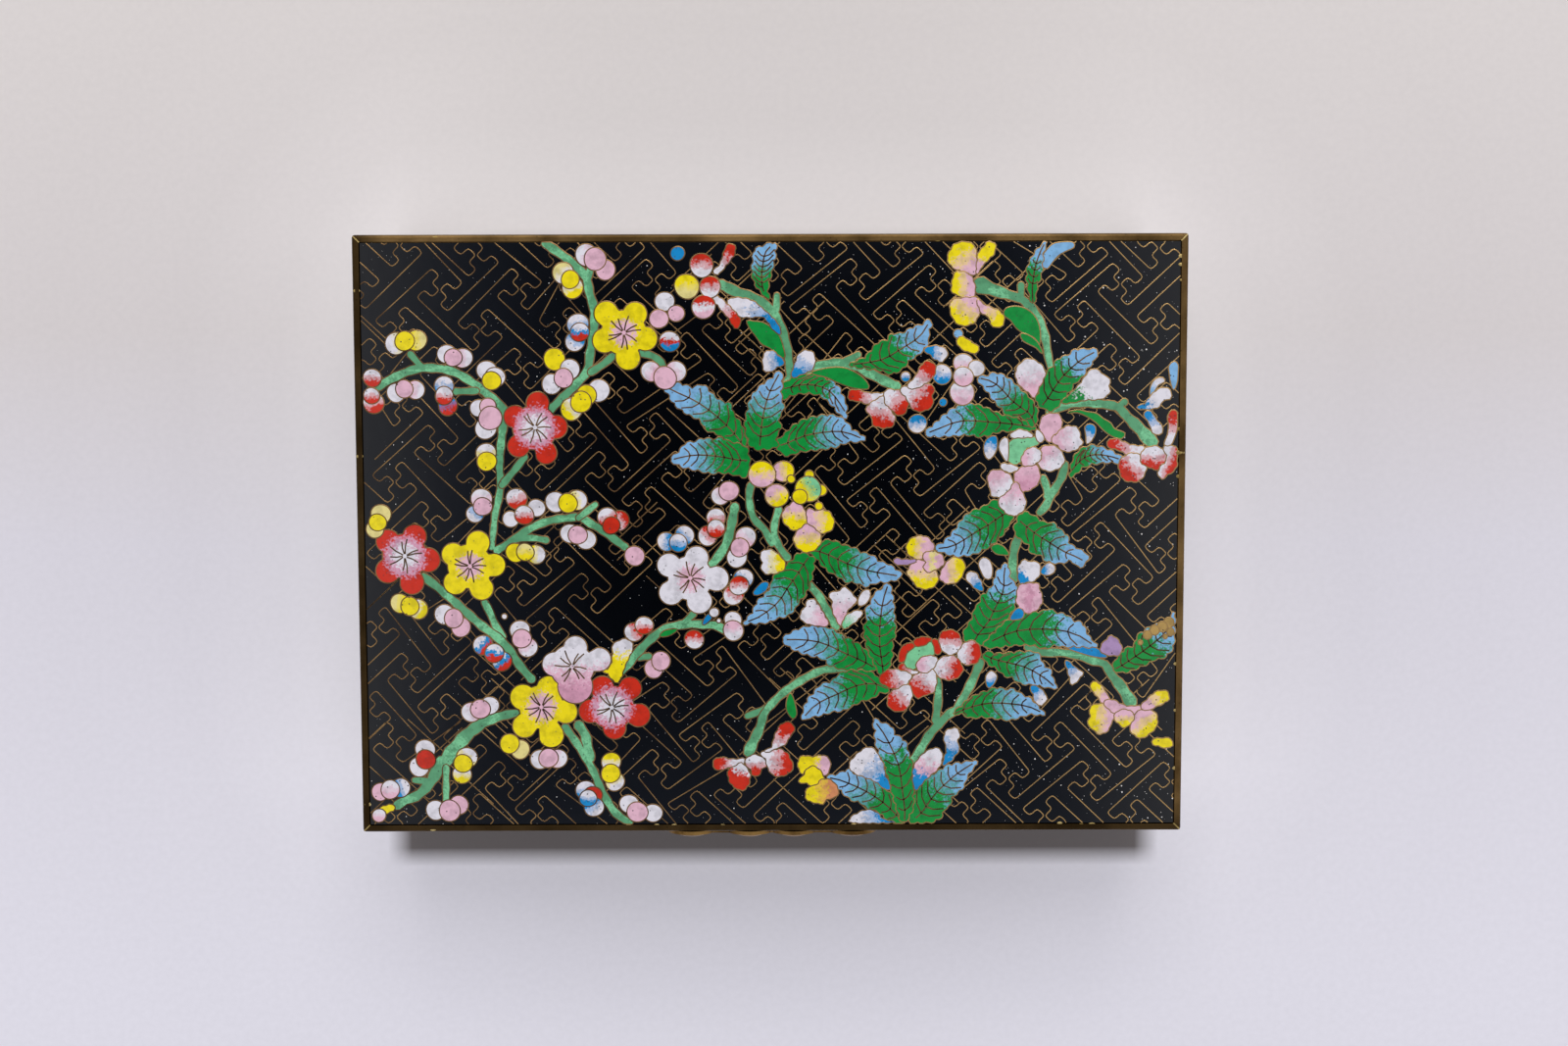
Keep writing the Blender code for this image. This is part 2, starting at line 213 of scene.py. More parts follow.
# Buds and round spots of enamel.
BUDS: Tuple[Bud, ...] = (
    Bud(((-62.8, 32.7, 2, "wc"), (-59.4, 33.2, 1.85, "cy"), (-61.4, 33.1, 1.77, "y"))),
    Bud(((-54.4, 30.9, 1.7, "w"), (-51.7, 30.2, 1.78, "wk"), (-53.3, 30.3, 1.62, "k"))),
    Bud(((-47.7, 28.1, 1.8, "w"), (-46.3, 27, 1.8, "w"), (-46.9, 26.4, 1.7, "y"))),
    Bud(((-66.95, 26.9, 1.65, "wr"), (-66.8, 22.7, 1.9, "rw"), (-67.1, 23.9, 1.5, "wr"))),
    Bud(((-63, 24.4, 1.7, "w"), (-59.7, 24.9, 1.68, "wk"), (-61.6, 25.05, 1.62, "k"))),
    Bud(((-54.9, 25.5, 1.8, "wb"), (-54.3, 22.2, 1.75, "rb"), (-54.9, 23.9, 1.65, "wr"))),
    Bud(((-49.2, 21.8, 1.55, "w"), (-47.6, 22.1, 1.5, "k"), (-48, 18.4, 1.95, "w"),
        (-47.2, 20.1, 2.1, "k"))),
    Bud(((-48, 14.2, 1.8, "wy"), (-47.9, 12.8, 1.75, "y"))),
    Bud(((-50, 3.9, 1.6, "wb"), (-48.9, 6.45, 1.9, "wk"), (-48.7, 5.15, 1.68, "k"))),
    Bud(((-42.95, 6.45, 1.9, "wr"), (-39.6, 4.9, 1.6, "w"), (-44, 3, 1.5, "w"),
        (-41.7, 3.7, 1.75, "wr"))),
    Bud(((-36.4, 5.9, 1.85, "w"), (-32.7, 6.2, 1.8, "wy"), (-34.3, 5.7, 1.75, "y"))),
    Bud(((-30.8, 47.4, 1.95, "wk"), (-27.6, 44.9, 1.8, "k"), (-29.3, 46.7, 2, "k"))),
    Bud(((-34.7, 44.4, 1.9, "cw"), (-33.1, 41.9, 1.9, "yw"), (-33.5, 43.3, 1.65, "y"))),
    Bud(((-32.3, 35.8, 1.95, "wb"), (-32.8, 32.95, 1.78, "wb"), (-32, 34.5, 1.7, "wbr"))),
    Bud(((-17.7, 39.6, 1.75, "w"), (-15.8, 37.6, 1.5, "k"), (-18.7, 36.7, 1.72, "k"))),
    Bud(((-16.9, 32.9, 1.85, "wrb"),)),
    Bud(((-20.1, 27.9, 1.8, "wk"), (-15.9, 27.9, 1.85, "wk"), (-17.75, 26.8, 2.05, "k"))),
    Bud(((-36.3, 30, 1.95, "y"), (-33.7, 28.3, 1.8, "w"), (-36.8, 25.8, 1.8, "w"),
        (-34.8, 26.8, 1.75, "k"))),
    Bud(((-33.5, 21.6, 2, "yw"), (-28.9, 24.7, 2, "w"), (-31, 23.9, 1.85, "y"), (-31.9, 22.8, 1.9, "y"))),
    Bud(((-25.7, 2.7, 1.85, "rw"), (-27.7, 3.3, 1.75, "wr"), (-27, 1.9, 1.6, "r"))),
    Bud(((-8.5, 6.9, 1.7, "wk"), (-7.1, 7.7, 1.8, "k"))),
    Bud(((-65.9, 3.9, 1.8, "c"), (-67, 1.3, 1.6, "c"), (-66.5, 2.5, 1.6, "y"))),
    Bud(((-43.3, -2.7, 1.75, "y"), (-39.8, -3, 1.75, "wy"), (-41.6, -2.6, 1.62, "cy"))),
    Bud(((-63, -11.3, 1.75, "cy"), (-59.9, -12.3, 1.8, "yw"), (-61.3, -11.8, 1.7, "y"))),
    Bud(((-55.5, -13.2, 1.8, "w"), (-52.7, -15.4, 1.8, "k"), (-53.9, -13.9, 1.75, "k"))),
    Bud(((-49, -18.5, 1.8, "wbr"), (-45.8, -21.3, 1.8, "rbw"), (-47.1, -19.9, 1.75, "wbr"))),
    Bud(((-42.7, -15.95, 1.8, "w"), (-41.4, -18.9, 1.8, "wk"), (-42.4, -17.4, 1.75, "k"))),
    Bud(((-34, 0.55, 1.75, "w"), (-31.3, -0.5, 1.8, "w"), (-32.7, 0.3, 1.72, "k"))),
    Bud(((-23.1, -3.3, 1.8, "k"),)),
    Bud(((-17.7, -0.9, 1.7, "wb"), (-14.6, 0.2, 1.75, "wb"), (-15.7, -1.1, 1.65, "wb"))),
    Bud(((-9.3, 3.1, 1.75, "wr"), (-10.7, 0.1, 1.8, "wr"), (-9.3, 1.3, 1.65, "wr"))),
    Bud(((-4.3, -0.2, 1.9, "wk"), (-5.8, -3.6, 1.85, "w"), (-5.3, -1.9, 1.72, "k"))),
    Bud(((-4.7, -7.2, 1.8, "wb"), (-6.4, -10, 1.85, "wr"), (-5.45, -8.4, 1.75, "rw"))),
    Bud(((-23.3, -16.3, 1.75, "wr"), (-21.6, -15.2, 1.65, "wr"))),
    Bud(((-13.1, -17.6, 1.75, "rw"),)),
    Bud(((-6.5, -14.3, 1.6, "w"), (-6.45, -16.1, 1.85, "kw"))),
    Bud(((-20, -22.6, 1.75, "k"), (-18.8, -21.3, 1.75, "k"))),
    Bud(((-42.9, -36.5, 1.75, "c"), (-44.7, -35.5, 1.8, "y"))),
    Bud(((-39.5, -38.2, 1.8, "w"), (-36.5, -38.1, 1.75, "wk"), (-38.1, -38, 1.78, "k"))),
    Bud(((-51.1, -30, 1.85, "wk"), (-48, -28.9, 1.7, "w"), (-49.6, -29.5, 1.8, "k"))),
    Bud(((-52, -37.9, 1.9, "wy"), (-52.9, -40.8, 1.72, "yw"), (-52.7, -38.9, 1.7, "y"))),
    Bud(((-59.1, -36.5, 1.85, "w"), (-60.2, -39.5, 1.8, "w"), (-59.05, -38.2, 1.8, "r"))),
    Bud(((-57.5, -47, 1.8, "w"), (-53.5, -46.1, 1.75, "k"), (-55.1, -47.1, 1.95, "k"))),
    Bud(((-66.9, -43.8, 1.65, "k"), (-63.4, -43.1, 1.75, "wb"), (-65.2, -43.4, 1.75, "wk"))),
    Bud(((-27.4, -38.7, 1.78, "yw"), (-26.8, -42.1, 1.75, "wy"), (-27.5, -40.7, 1.75, "y"))),
    Bud(((-31.8, -43.6, 1.8, "wb"), (-30.6, -44.5, 1.7, "r"), (-30.4, -46.5, 1.8, "wb"),
        (-31.4, -45, 1.6, "wb"))),
    Bud(((-24.4, -46, 1.75, "w"), (-20.3, -47.6, 1.7, "w"), (-23, -47.4, 1.9, "k"))),
    Bud(((-14, 42.1, 2.2, "yc"),)),
    Bud(((-11.5, 45.6, 2.1, "rw"),)),
    Bud(((-10.1, 42, 1.9, "rw"),)),
    Bud(((-11.2, 38.7, 2.1, "rwk"),)),
    Bud(((-15.5, 47.6, 1.3, "b"),)),
    Bud(((2.1, 11, 1.9, "yk"), (1, 6.9, 2.1, "yk"), (-1.5, 10.5, 2.4, "yk"))),
    Bud(((6.5, 10.4, 0.9, "y"), (8.5, 7.8, 1.05, "y"), (8.1, 5.1, 0.8, "y"), (3.4, 9.7, 0.8, "y"),
        (6.3, 8, 2.3, "my"), (4.9, 6.7, 1.4, "y"))),
    Bud(((28.8, 27.3, 1.8, "wb"),)),
    Bud(((22.7, 26.9, 0.95, "wb"),)),
    Bud(((29, 22.6, 0.8, "b"),)),
    Bud(((24.7, 19, 1.7, "bw"),)),
    Bud(((31.5, 34.1, 0.9, "t"),)),
    Bud(((32.4, 29.1, 1.8, "wk"), (34.6, 28.3, 1.5, "w"), (32.4, 26.9, 1.8, "wk"))),
    Bud(((32.2, 24.2, 2.2, "wk"),)),
    Bud(((67.5, -14.9, 1, "x"), (66.4, -15.6, 1, "x"), (65.1, -16.2, 0.95, "x"), (63.9, -17, 0.85, "x"),
        (67.8, -16.5, 0.75, "x"), (66.9, -17.3, 0.5, "x"))),
    Bud(((62.7, -18.3, 0.5, "x"),)),
    Bud(((-67.2, -47.9, 1.3, "wk"),)),
    Bud(((-9.7, -13, 0.95, "w"),)),
    Bud(((-8.9, -14.4, 0.5, "w"),)),
    Bud(((-45.3, -13.6, 0.6, "w"),)),
)

# The branches, with their widths in millimetres from first to last point.
STEMS: Tuple[Stem, ...] = (
    Stem((1.3, 1.3, 0.9), (-663, 253, -630, 271, -595, 284, -560, 285, -530, 278, -500, 260, -475, 240,
        -449, 215, -451, 189, -455, 155, -458, 120, -456, 90, -462, 55, -466, 40, -469, 15, -473, -18)),
    Stem((1,), (-605, 309, -585, 286)),
    Stem((1,), (-530, 246, -495, 247)),
    Stem((1.1,), (-415, 135, -435, 110, -454, 88)),
    Stem((1.3,), (-376, 493, -346, 472, -320, 450, -308, 435, -303, 410, -296, 385, -296, 350, -303, 310,
        -308, 280, -330, 255, -355, 230, -375, 212)),
    Stem((1,), (-300, 459, -304, 436)),
    Stem((1.1,), (-265, 305, -280, 292, -302, 278)),
    Stem((1.1,), (-216, 310, -198, 305, -184, 294, -179, 280)),
    Stem((1.2,), (-464, -23, -442, -10, -425, 3, -405, 15, -385, 24, -360, 30, -346, 31, -323, 33, -305,
        22, -285, 11, -267, -3, -247, -18)),
    Stem((1,), (-430, -4, -405, -2, -380, -6)),
    Stem((1,), (-325, 32, -297, 54)),
    Stem((1.3,), (-588, -68, -565, -86, -540, -108, -515, -131, -490, -153, -465, -172, -446, -192, -428,
        -220, -408, -244)),
    Stem((1.1,), (-486, -112, -476, -132, -468, -152, -456, -170)),
    Stem((1.4,), (-61, 50, -63, 40, -69, 9, -77, -15, -89, -34, -101, -49)),
    Stem((1.3,), (-260, -235, -244, -219, -227, -198, -203, -174, -180, -158, -146, -150, -108, -151, -91,
        -153, -77, -162)),
    Stem((1,), (-148, -148, -132, -132)),
    Stem((1,), (-225, -207, -208, -205)),
    Stem((1.2, 1.8, 2.4, 1.6, 1.4), (-436, -302, -460, -307, -484, -315, -500, -324, -520, -340, -534,
        -355, -546, -370, -556, -384, -567, -391, -577, -412, -591, -431, -608, -446, -627, -453, -641,
        -462)),
    Stem((1,), (-610, -418, -582, -420)),
    Stem((1,), (-556, -396, -557, -456)),
    Stem((1.2,), (-352, -327, -341, -342, -327, -363, -313, -387, -302, -409, -293, -432, -281, -455,
        -267, -476, -244, -493)),
    Stem((1.5,), (-329, -323, -318, -340, -315, -355, -310, -380)),
    Stem((1.6, 1.6, 1.4, 1), (-82, 424, -53, 410, -30, 402, -16, 394, 0, 382, 14, 360, 24, 332, 30, 303,
        32, 270, 20, 252)),
    Stem((1,), (11, 405, 10, 382)),
    Stem((1.5,), (20, 252, 42, 269, 66, 281, 90, 289, 115, 292, 140, 289, 165, 276, 190, 263, 212, 253)),
    Stem((1,), (120, 292, 147, 306)),
    Stem((2.6, 1.6, 1.2, 1.6, 1.4, 1.1, 0.9), (352, 422, 380, 412, 405, 404, 422, 398, 438, 382, 452, 358,
        461, 334, 466, 305, 472, 278)),
    Stem((1,), (420, 422, 420, 400)),
    Stem((1.3, 1.3, 1.3, 2.2), (470, 209, 489, 218, 512, 224, 536, 224, 560, 222, 584, 217, 600, 201, 617,
        185, 631, 170, 642, 159)),
    Stem((1,), (584, 217, 596, 226)),
    Stem((1.2,), (496, 120, 491, 99, 474, 70, 465, 51, 455, 40)),
    Stem((1.1,), (460, 97, 466, 80, 467, 66)),
    Stem((1.1,), (-34, 86, -37, 66, -30, 32, -11, 11, 1, -12)),
    Stem((1.1,), (13, 45, 6, 21, 6, 2, 15, -20, 28, -37)),
    Stem((1.2,), (65, -84, 80, -100, 91, -120, 103, -141, 110, -155)),
    Stem((1.3,), (420, 0, 412, -22, 409, -50, 411, -74)),
    Stem((1.2, 1.2, 1.2, 2), (436, -191, 458, -200, 489, -200, 520, -205, 548, -215, 567, -220, 579, -239,
        596, -260, 612, -286)),
    Stem((1.2,), (282, -248, 284, -272, 282, -300, 280, -317)),
    Stem((1.3,), (355, -217, 343, -246, 329, -274, 315, -298, 303, -305, 284, -324, 268, -343, 251, -372,
        241, -386)),
    Stem((1.2, 1.2, 1.2, 1.8), (132, -228, 113, -227, 89, -229, 65, -239, 41, -253, 18, -270, -1, -289,
        -13, -305, -20, -329, -34, -358, -39, -370)),
    Stem((1,), (-10, -295, -20, -300, -41, -308)),
)

# The leaves: colours from base to tip, the base, the tip and the edge.
LEAVES: Tuple[Leaf, ...] = (
    Leaf("gt", (-0.2, 41), (0.2, 49), (4, 493, 9, 488, 7, 468, 1, 444, -5, 418, -3, 400, -12, 409, -24,
        424, -30, 445, -28, 465, -26, 480, -13, 487)),
    Leaf("g", (-3.9, 36.3), (2.3, 30.2), (-39, 363, -28, 362, -13, 360, 0, 352, 14, 338, 21, 318, 23, 302,
        12, 308, 0, 318, -14, 325, -25, 339, -34, 351)),
    Leaf("g", (7, 27.6), (16.4, 25), (70, 276, 95, 283, 120, 284, 140, 277, 158, 264, 164, 250, 140, 251,
        116, 259, 94, 269)),
    Leaf("ggt", (1.8, 24.3), (12.6, 20.1), (18, 252, 40, 268, 65, 273, 90, 266, 110, 256, 122, 234, 127,
        215, 126, 201, 113, 211, 98, 228, 82, 239, 60, 243, 38, 240, 19, 233)),
    Leaf("gt", (1.5, 14.5), (15.7, 16.5), (9, 156, 22, 170, 42, 189, 65, 199, 99, 204, 122, 197, 137, 180,
        157, 167, 152, 161, 130, 160, 106, 151, 82, 148, 50, 144, 25, 138)),
    Leaf("gt", (-1.5, 13.8), (1.6, 27.9), (-30, 150, -42, 183, -39, 210, -33, 233, -18, 252, 0, 265, 16,
        279, 19, 262, 17, 236, 21, 218, 13, 200, 16, 184, 8, 168, 9, 152)),
    Leaf("gt", (-4.2, 14), (-18, 25.3), (-180, 253, -156, 258, -132, 251, -114, 255, -101, 242, -86, 229,
        -68, 223, -63, 206, -50, 189, -43, 165, -42, 140, -75, 165, -91, 175, -109, 182, -118, 197, -141,
        209, -162, 225, -172, 242)),
    Leaf("gt", (-3.7, 13.4), (-16.9, 13.1), (-169, 131, -154, 143, -144, 156, -126, 160, -113, 165, -97,
        163, -83, 166, -70, 159, -45, 152, -37, 134, -40, 103, -63, 106, -85, 109, -102, 108, -123, 113,
        -143, 117, -158, 123)),
    Leaf("ggt", (13.5, 28.9), (26.6, 36.5), (158, 301, 172, 315, 180, 325, 196, 330, 203, 339, 222, 341,
        239, 351, 256, 356, 266, 365, 269, 356, 265, 344, 263, 325, 251, 310, 232, 296, 222, 284, 203,
        275, 180, 282, 158, 284, 135, 289)),
    Leaf("g", (39.2, 37.6), (45.1, 32.3), (392, 376, 396, 383, 410, 386, 425, 383, 439, 374, 448, 360,
        452, 342, 451, 323, 444, 334, 434, 339, 422, 344, 412, 352, 403, 364, 394, 370)),
    Leaf("g", (42, 33), (45.6, 30.8), (420, 340, 430, 339, 444, 330, 452, 319, 456, 308, 446, 318, 434,
        324, 424, 330)),
    Leaf("ggt", (44, 39.1), (46.2, 49.3), (440, 391, 431, 425, 431, 449, 440, 470, 453, 487, 462, 493,
        456, 475, 453, 441, 446, 420)),
    Leaf("t", (46, 46), (50.7, 49), (454, 456, 455, 468, 463, 480, 474, 490, 492, 493, 506, 492, 507, 485,
        494, 479, 482, 472, 472, 461, 463, 450)),
    Leaf("ggt", (45.3, 20.5), (54.9, 31.2), (448, 225, 452, 245, 458, 264, 466, 276, 475, 286, 486, 299,
        500, 303, 512, 313, 526, 313, 549, 312, 541, 294, 530, 280, 523, 268, 512, 259, 502, 244, 489,
        228, 473, 212)),
    Leaf("g", (50, 20.8), (59.1, 16.5), (500, 208, 517, 212, 531, 209, 548, 206, 560, 197, 572, 190, 579,
        180, 596, 173, 591, 165, 577, 168, 562, 178, 548, 192, 531, 203, 515, 209)),
    Leaf("gt", (50.6, 11), (59.1, 12.6), (506, 110, 511, 129, 520, 143, 536, 151, 552, 150, 572, 143, 592,
        131, 589, 124, 570, 125, 550, 123, 530, 118, 518, 109, 507, 100)),
    Leaf("ggt", (44.5, 18), (26, 17), (260, 173, 280, 192, 299, 209, 315, 218, 339, 222, 358, 217, 372,
        211, 391, 203, 405, 201, 429, 192, 445, 180, 410, 178, 389, 178, 370, 172, 350, 169, 334, 172,
        303, 170, 280, 169)),
    Leaf("gt", (44.5, 18.5), (34.8, 26.8), (348, 268, 362, 269, 377, 274, 391, 270, 405, 261, 417, 249,
        427, 240, 439, 228, 448, 211, 443, 185, 424, 201, 400, 204, 389, 216, 377, 228, 367, 242, 355,
        256)),
    Leaf("gt", (6.5, -2.5), (22, -6.8), (87, -9, 110, -11, 122, -17, 140, -21, 152, -29, 170, -34, 184,
        -45, 199, -50, 220, -65, 215, -72, 199, -77, 177, -79, 160, -85, 146, -79, 127, -77, 113, -67, 99,
        -60, 84, -46, 74, -34, 65, -25)),
    Leaf("gt", (6, -3), (-4.6, -14.8), (49, -29, 39, -39, 27, -50, 12, -62, 3, -74, -1, -89, -13, -103,
        -23, -112, -32, -131, -46, -148, -30, -148, -6, -146, 10, -139, 27, -135, 39, -124, 46, -112, 56,
        -100, 65, -81, 70, -60, 72, -39)),
    Leaf("ggt", (19, -24), (19.9, -8), (199, -81, 189, -90, 175, -100, 171, -112, 160, -129, 164, -141,
        158, -158, 160, -174, 163, -189, 172, -210, 190, -240, 204, -210, 205, -184, 210, -165, 208, -136,
        206, -108)),
    Leaf("gt", (17.5, -23), (1.9, -17.7), (19, -177, 30, -168, 46, -160, 65, -155, 84, -156, 103, -160,
        122, -172, 141, -181, 156, -193, 170, -208, 175, -230, 130, -228, 99, -220, 89, -210, 65, -203,
        49, -198, 32, -189)),
    Leaf("gt", (40.8, 3.5), (27.7, -2.1), (291, -12, 303, 0, 315, 14, 324, 28, 339, 40, 361, 49, 386, 61,
        408, 35, 398, 14, 389, 0, 372, -15, 358, -24, 341, -31, 322, -34, 308, -33, 289, -27, 277, -21)),
    Leaf("gt", (41, 3.5), (53.7, -3.7), (424, 38, 443, 33, 462, 21, 477, 20, 491, 7, 500, 0, 505, -15,
        520, -24, 536, -36, 524, -53, 508, -42, 491, -46, 467, -43, 455, -31, 441, -30, 436, -15, 422, -5,
        412, 11)),
    Leaf("g", (37.3, -2), (40.2, -3.2), (373, -20, 383, -15, 394, -20, 402, -32, 393, -32, 381, -30)),
    Leaf("ggt", (35.5, -18.6), (39.6, -4.8), (389, -55, 381, -67, 377, -84, 367, -96, 358, -103, 353,
        -117, 346, -124, 341, -143, 331, -158, 327, -174, 343, -186, 358, -186, 372, -174, 389, -162, 405,
        -150, 400, -141, 412, -122, 415, -103, 415, -84, 405, -74, 400, -50)),
    Leaf("ggt", (35.5, -18.5), (55.2, -19), (405, -143, 424, -136, 439, -131, 458, -131, 472, -127, 486,
        -134, 500, -136, 515, -148, 527, -150, 534, -165, 543, -179, 552, -190, 524, -189, 500, -189, 481,
        -187, 465, -192, 443, -186, 417, -186, 393, -189, 362, -189, 380, -165)),
    Leaf("gt", (36, -20.4), (48.5, -26), (362, -200, 389, -203, 417, -200, 439, -200, 453, -203, 462,
        -222, 474, -231, 479, -248, 485, -260, 465, -258, 443, -254, 424, -252, 410, -242, 398, -239, 384,
        -227, 367, -217)),
    Leaf("b", (49.5, -18.7), (57, -20.8), (495, -187, 520, -186, 545, -190, 563, -200, 570, -208, 550,
        -207, 525, -200, 505, -193)),
    Leaf("ggt", (58.1, -22.7), (68.6, -14), (581, -227, 598, -198, 617, -189, 622, -174, 636, -162, 655,
        -153, 677, -143, 684, -133, 684, -174, 681, -193, 667, -208, 650, -212, 643, -217, 627, -224, 603,
        -233)),
    Leaf("g", (3.1, -27), (3, -31), (31, -270, 26, -285, 27, -300, 36, -312, 42, -306, 40, -290, 35,
        -274)),
    Leaf("gt", (19.5, -25), (5.3, -31.4), (60, -284, 72, -270, 84, -256, 103, -249, 118, -236, 141, -231,
        172, -236, 194, -258, 201, -266, 184, -268, 172, -277, 156, -281, 137, -290, 122, -298, 103, -300,
        89, -305, 65, -310, 53, -314)),
    Leaf("ggt", (22.5, -49.3), (17.4, -31.5), (177, -334, 178, -353, 184, -372, 190, -386, 199, -412, 206,
        -439, 215, -470, 225, -493, 240, -470, 241, -439, 241, -412, 239, -391, 232, -372, 227, -353, 210,
        -341, 203, -327, 189, -322, 174, -315)),
    Leaf("gt", (22.5, -49.3), (9.3, -41.5), (93, -415, 113, -410, 132, -402, 141, -410, 160, -410, 175,
        -422, 189, -427, 199, -441, 208, -448, 218, -465, 225, -493, 213, -493, 199, -489, 180, -472, 165,
        -470, 156, -460, 137, -453, 122, -441, 108, -427)),
    Leaf("gt", (25, -49.3), (34.9, -38.9), (244, -443, 251, -429, 268, -415, 282, -408, 299, -396, 315,
        -392, 324, -391, 349, -389, 334, -412, 327, -431, 315, -443, 308, -448, 303, -465, 294, -470, 291,
        -481, 277, -491, 250, -493, 235, -493)),
    Leaf("gt", (31, -30.5), (46.4, -30.9), (324, -292, 339, -279, 353, -272, 367, -267, 384, -261, 398,
        -265, 412, -264, 424, -272, 441, -281, 453, -293, 464, -307, 443, -305, 424, -310, 405, -315, 381,
        -312, 358, -310, 339, -311, 324, -304, 310, -305)),
    Leaf("g", (-18.7, -16.9), (-16.2, -16), (-189, -170, -182, -162, -170, -159, -160, -159, -168, -166,
        -178, -170)),
)

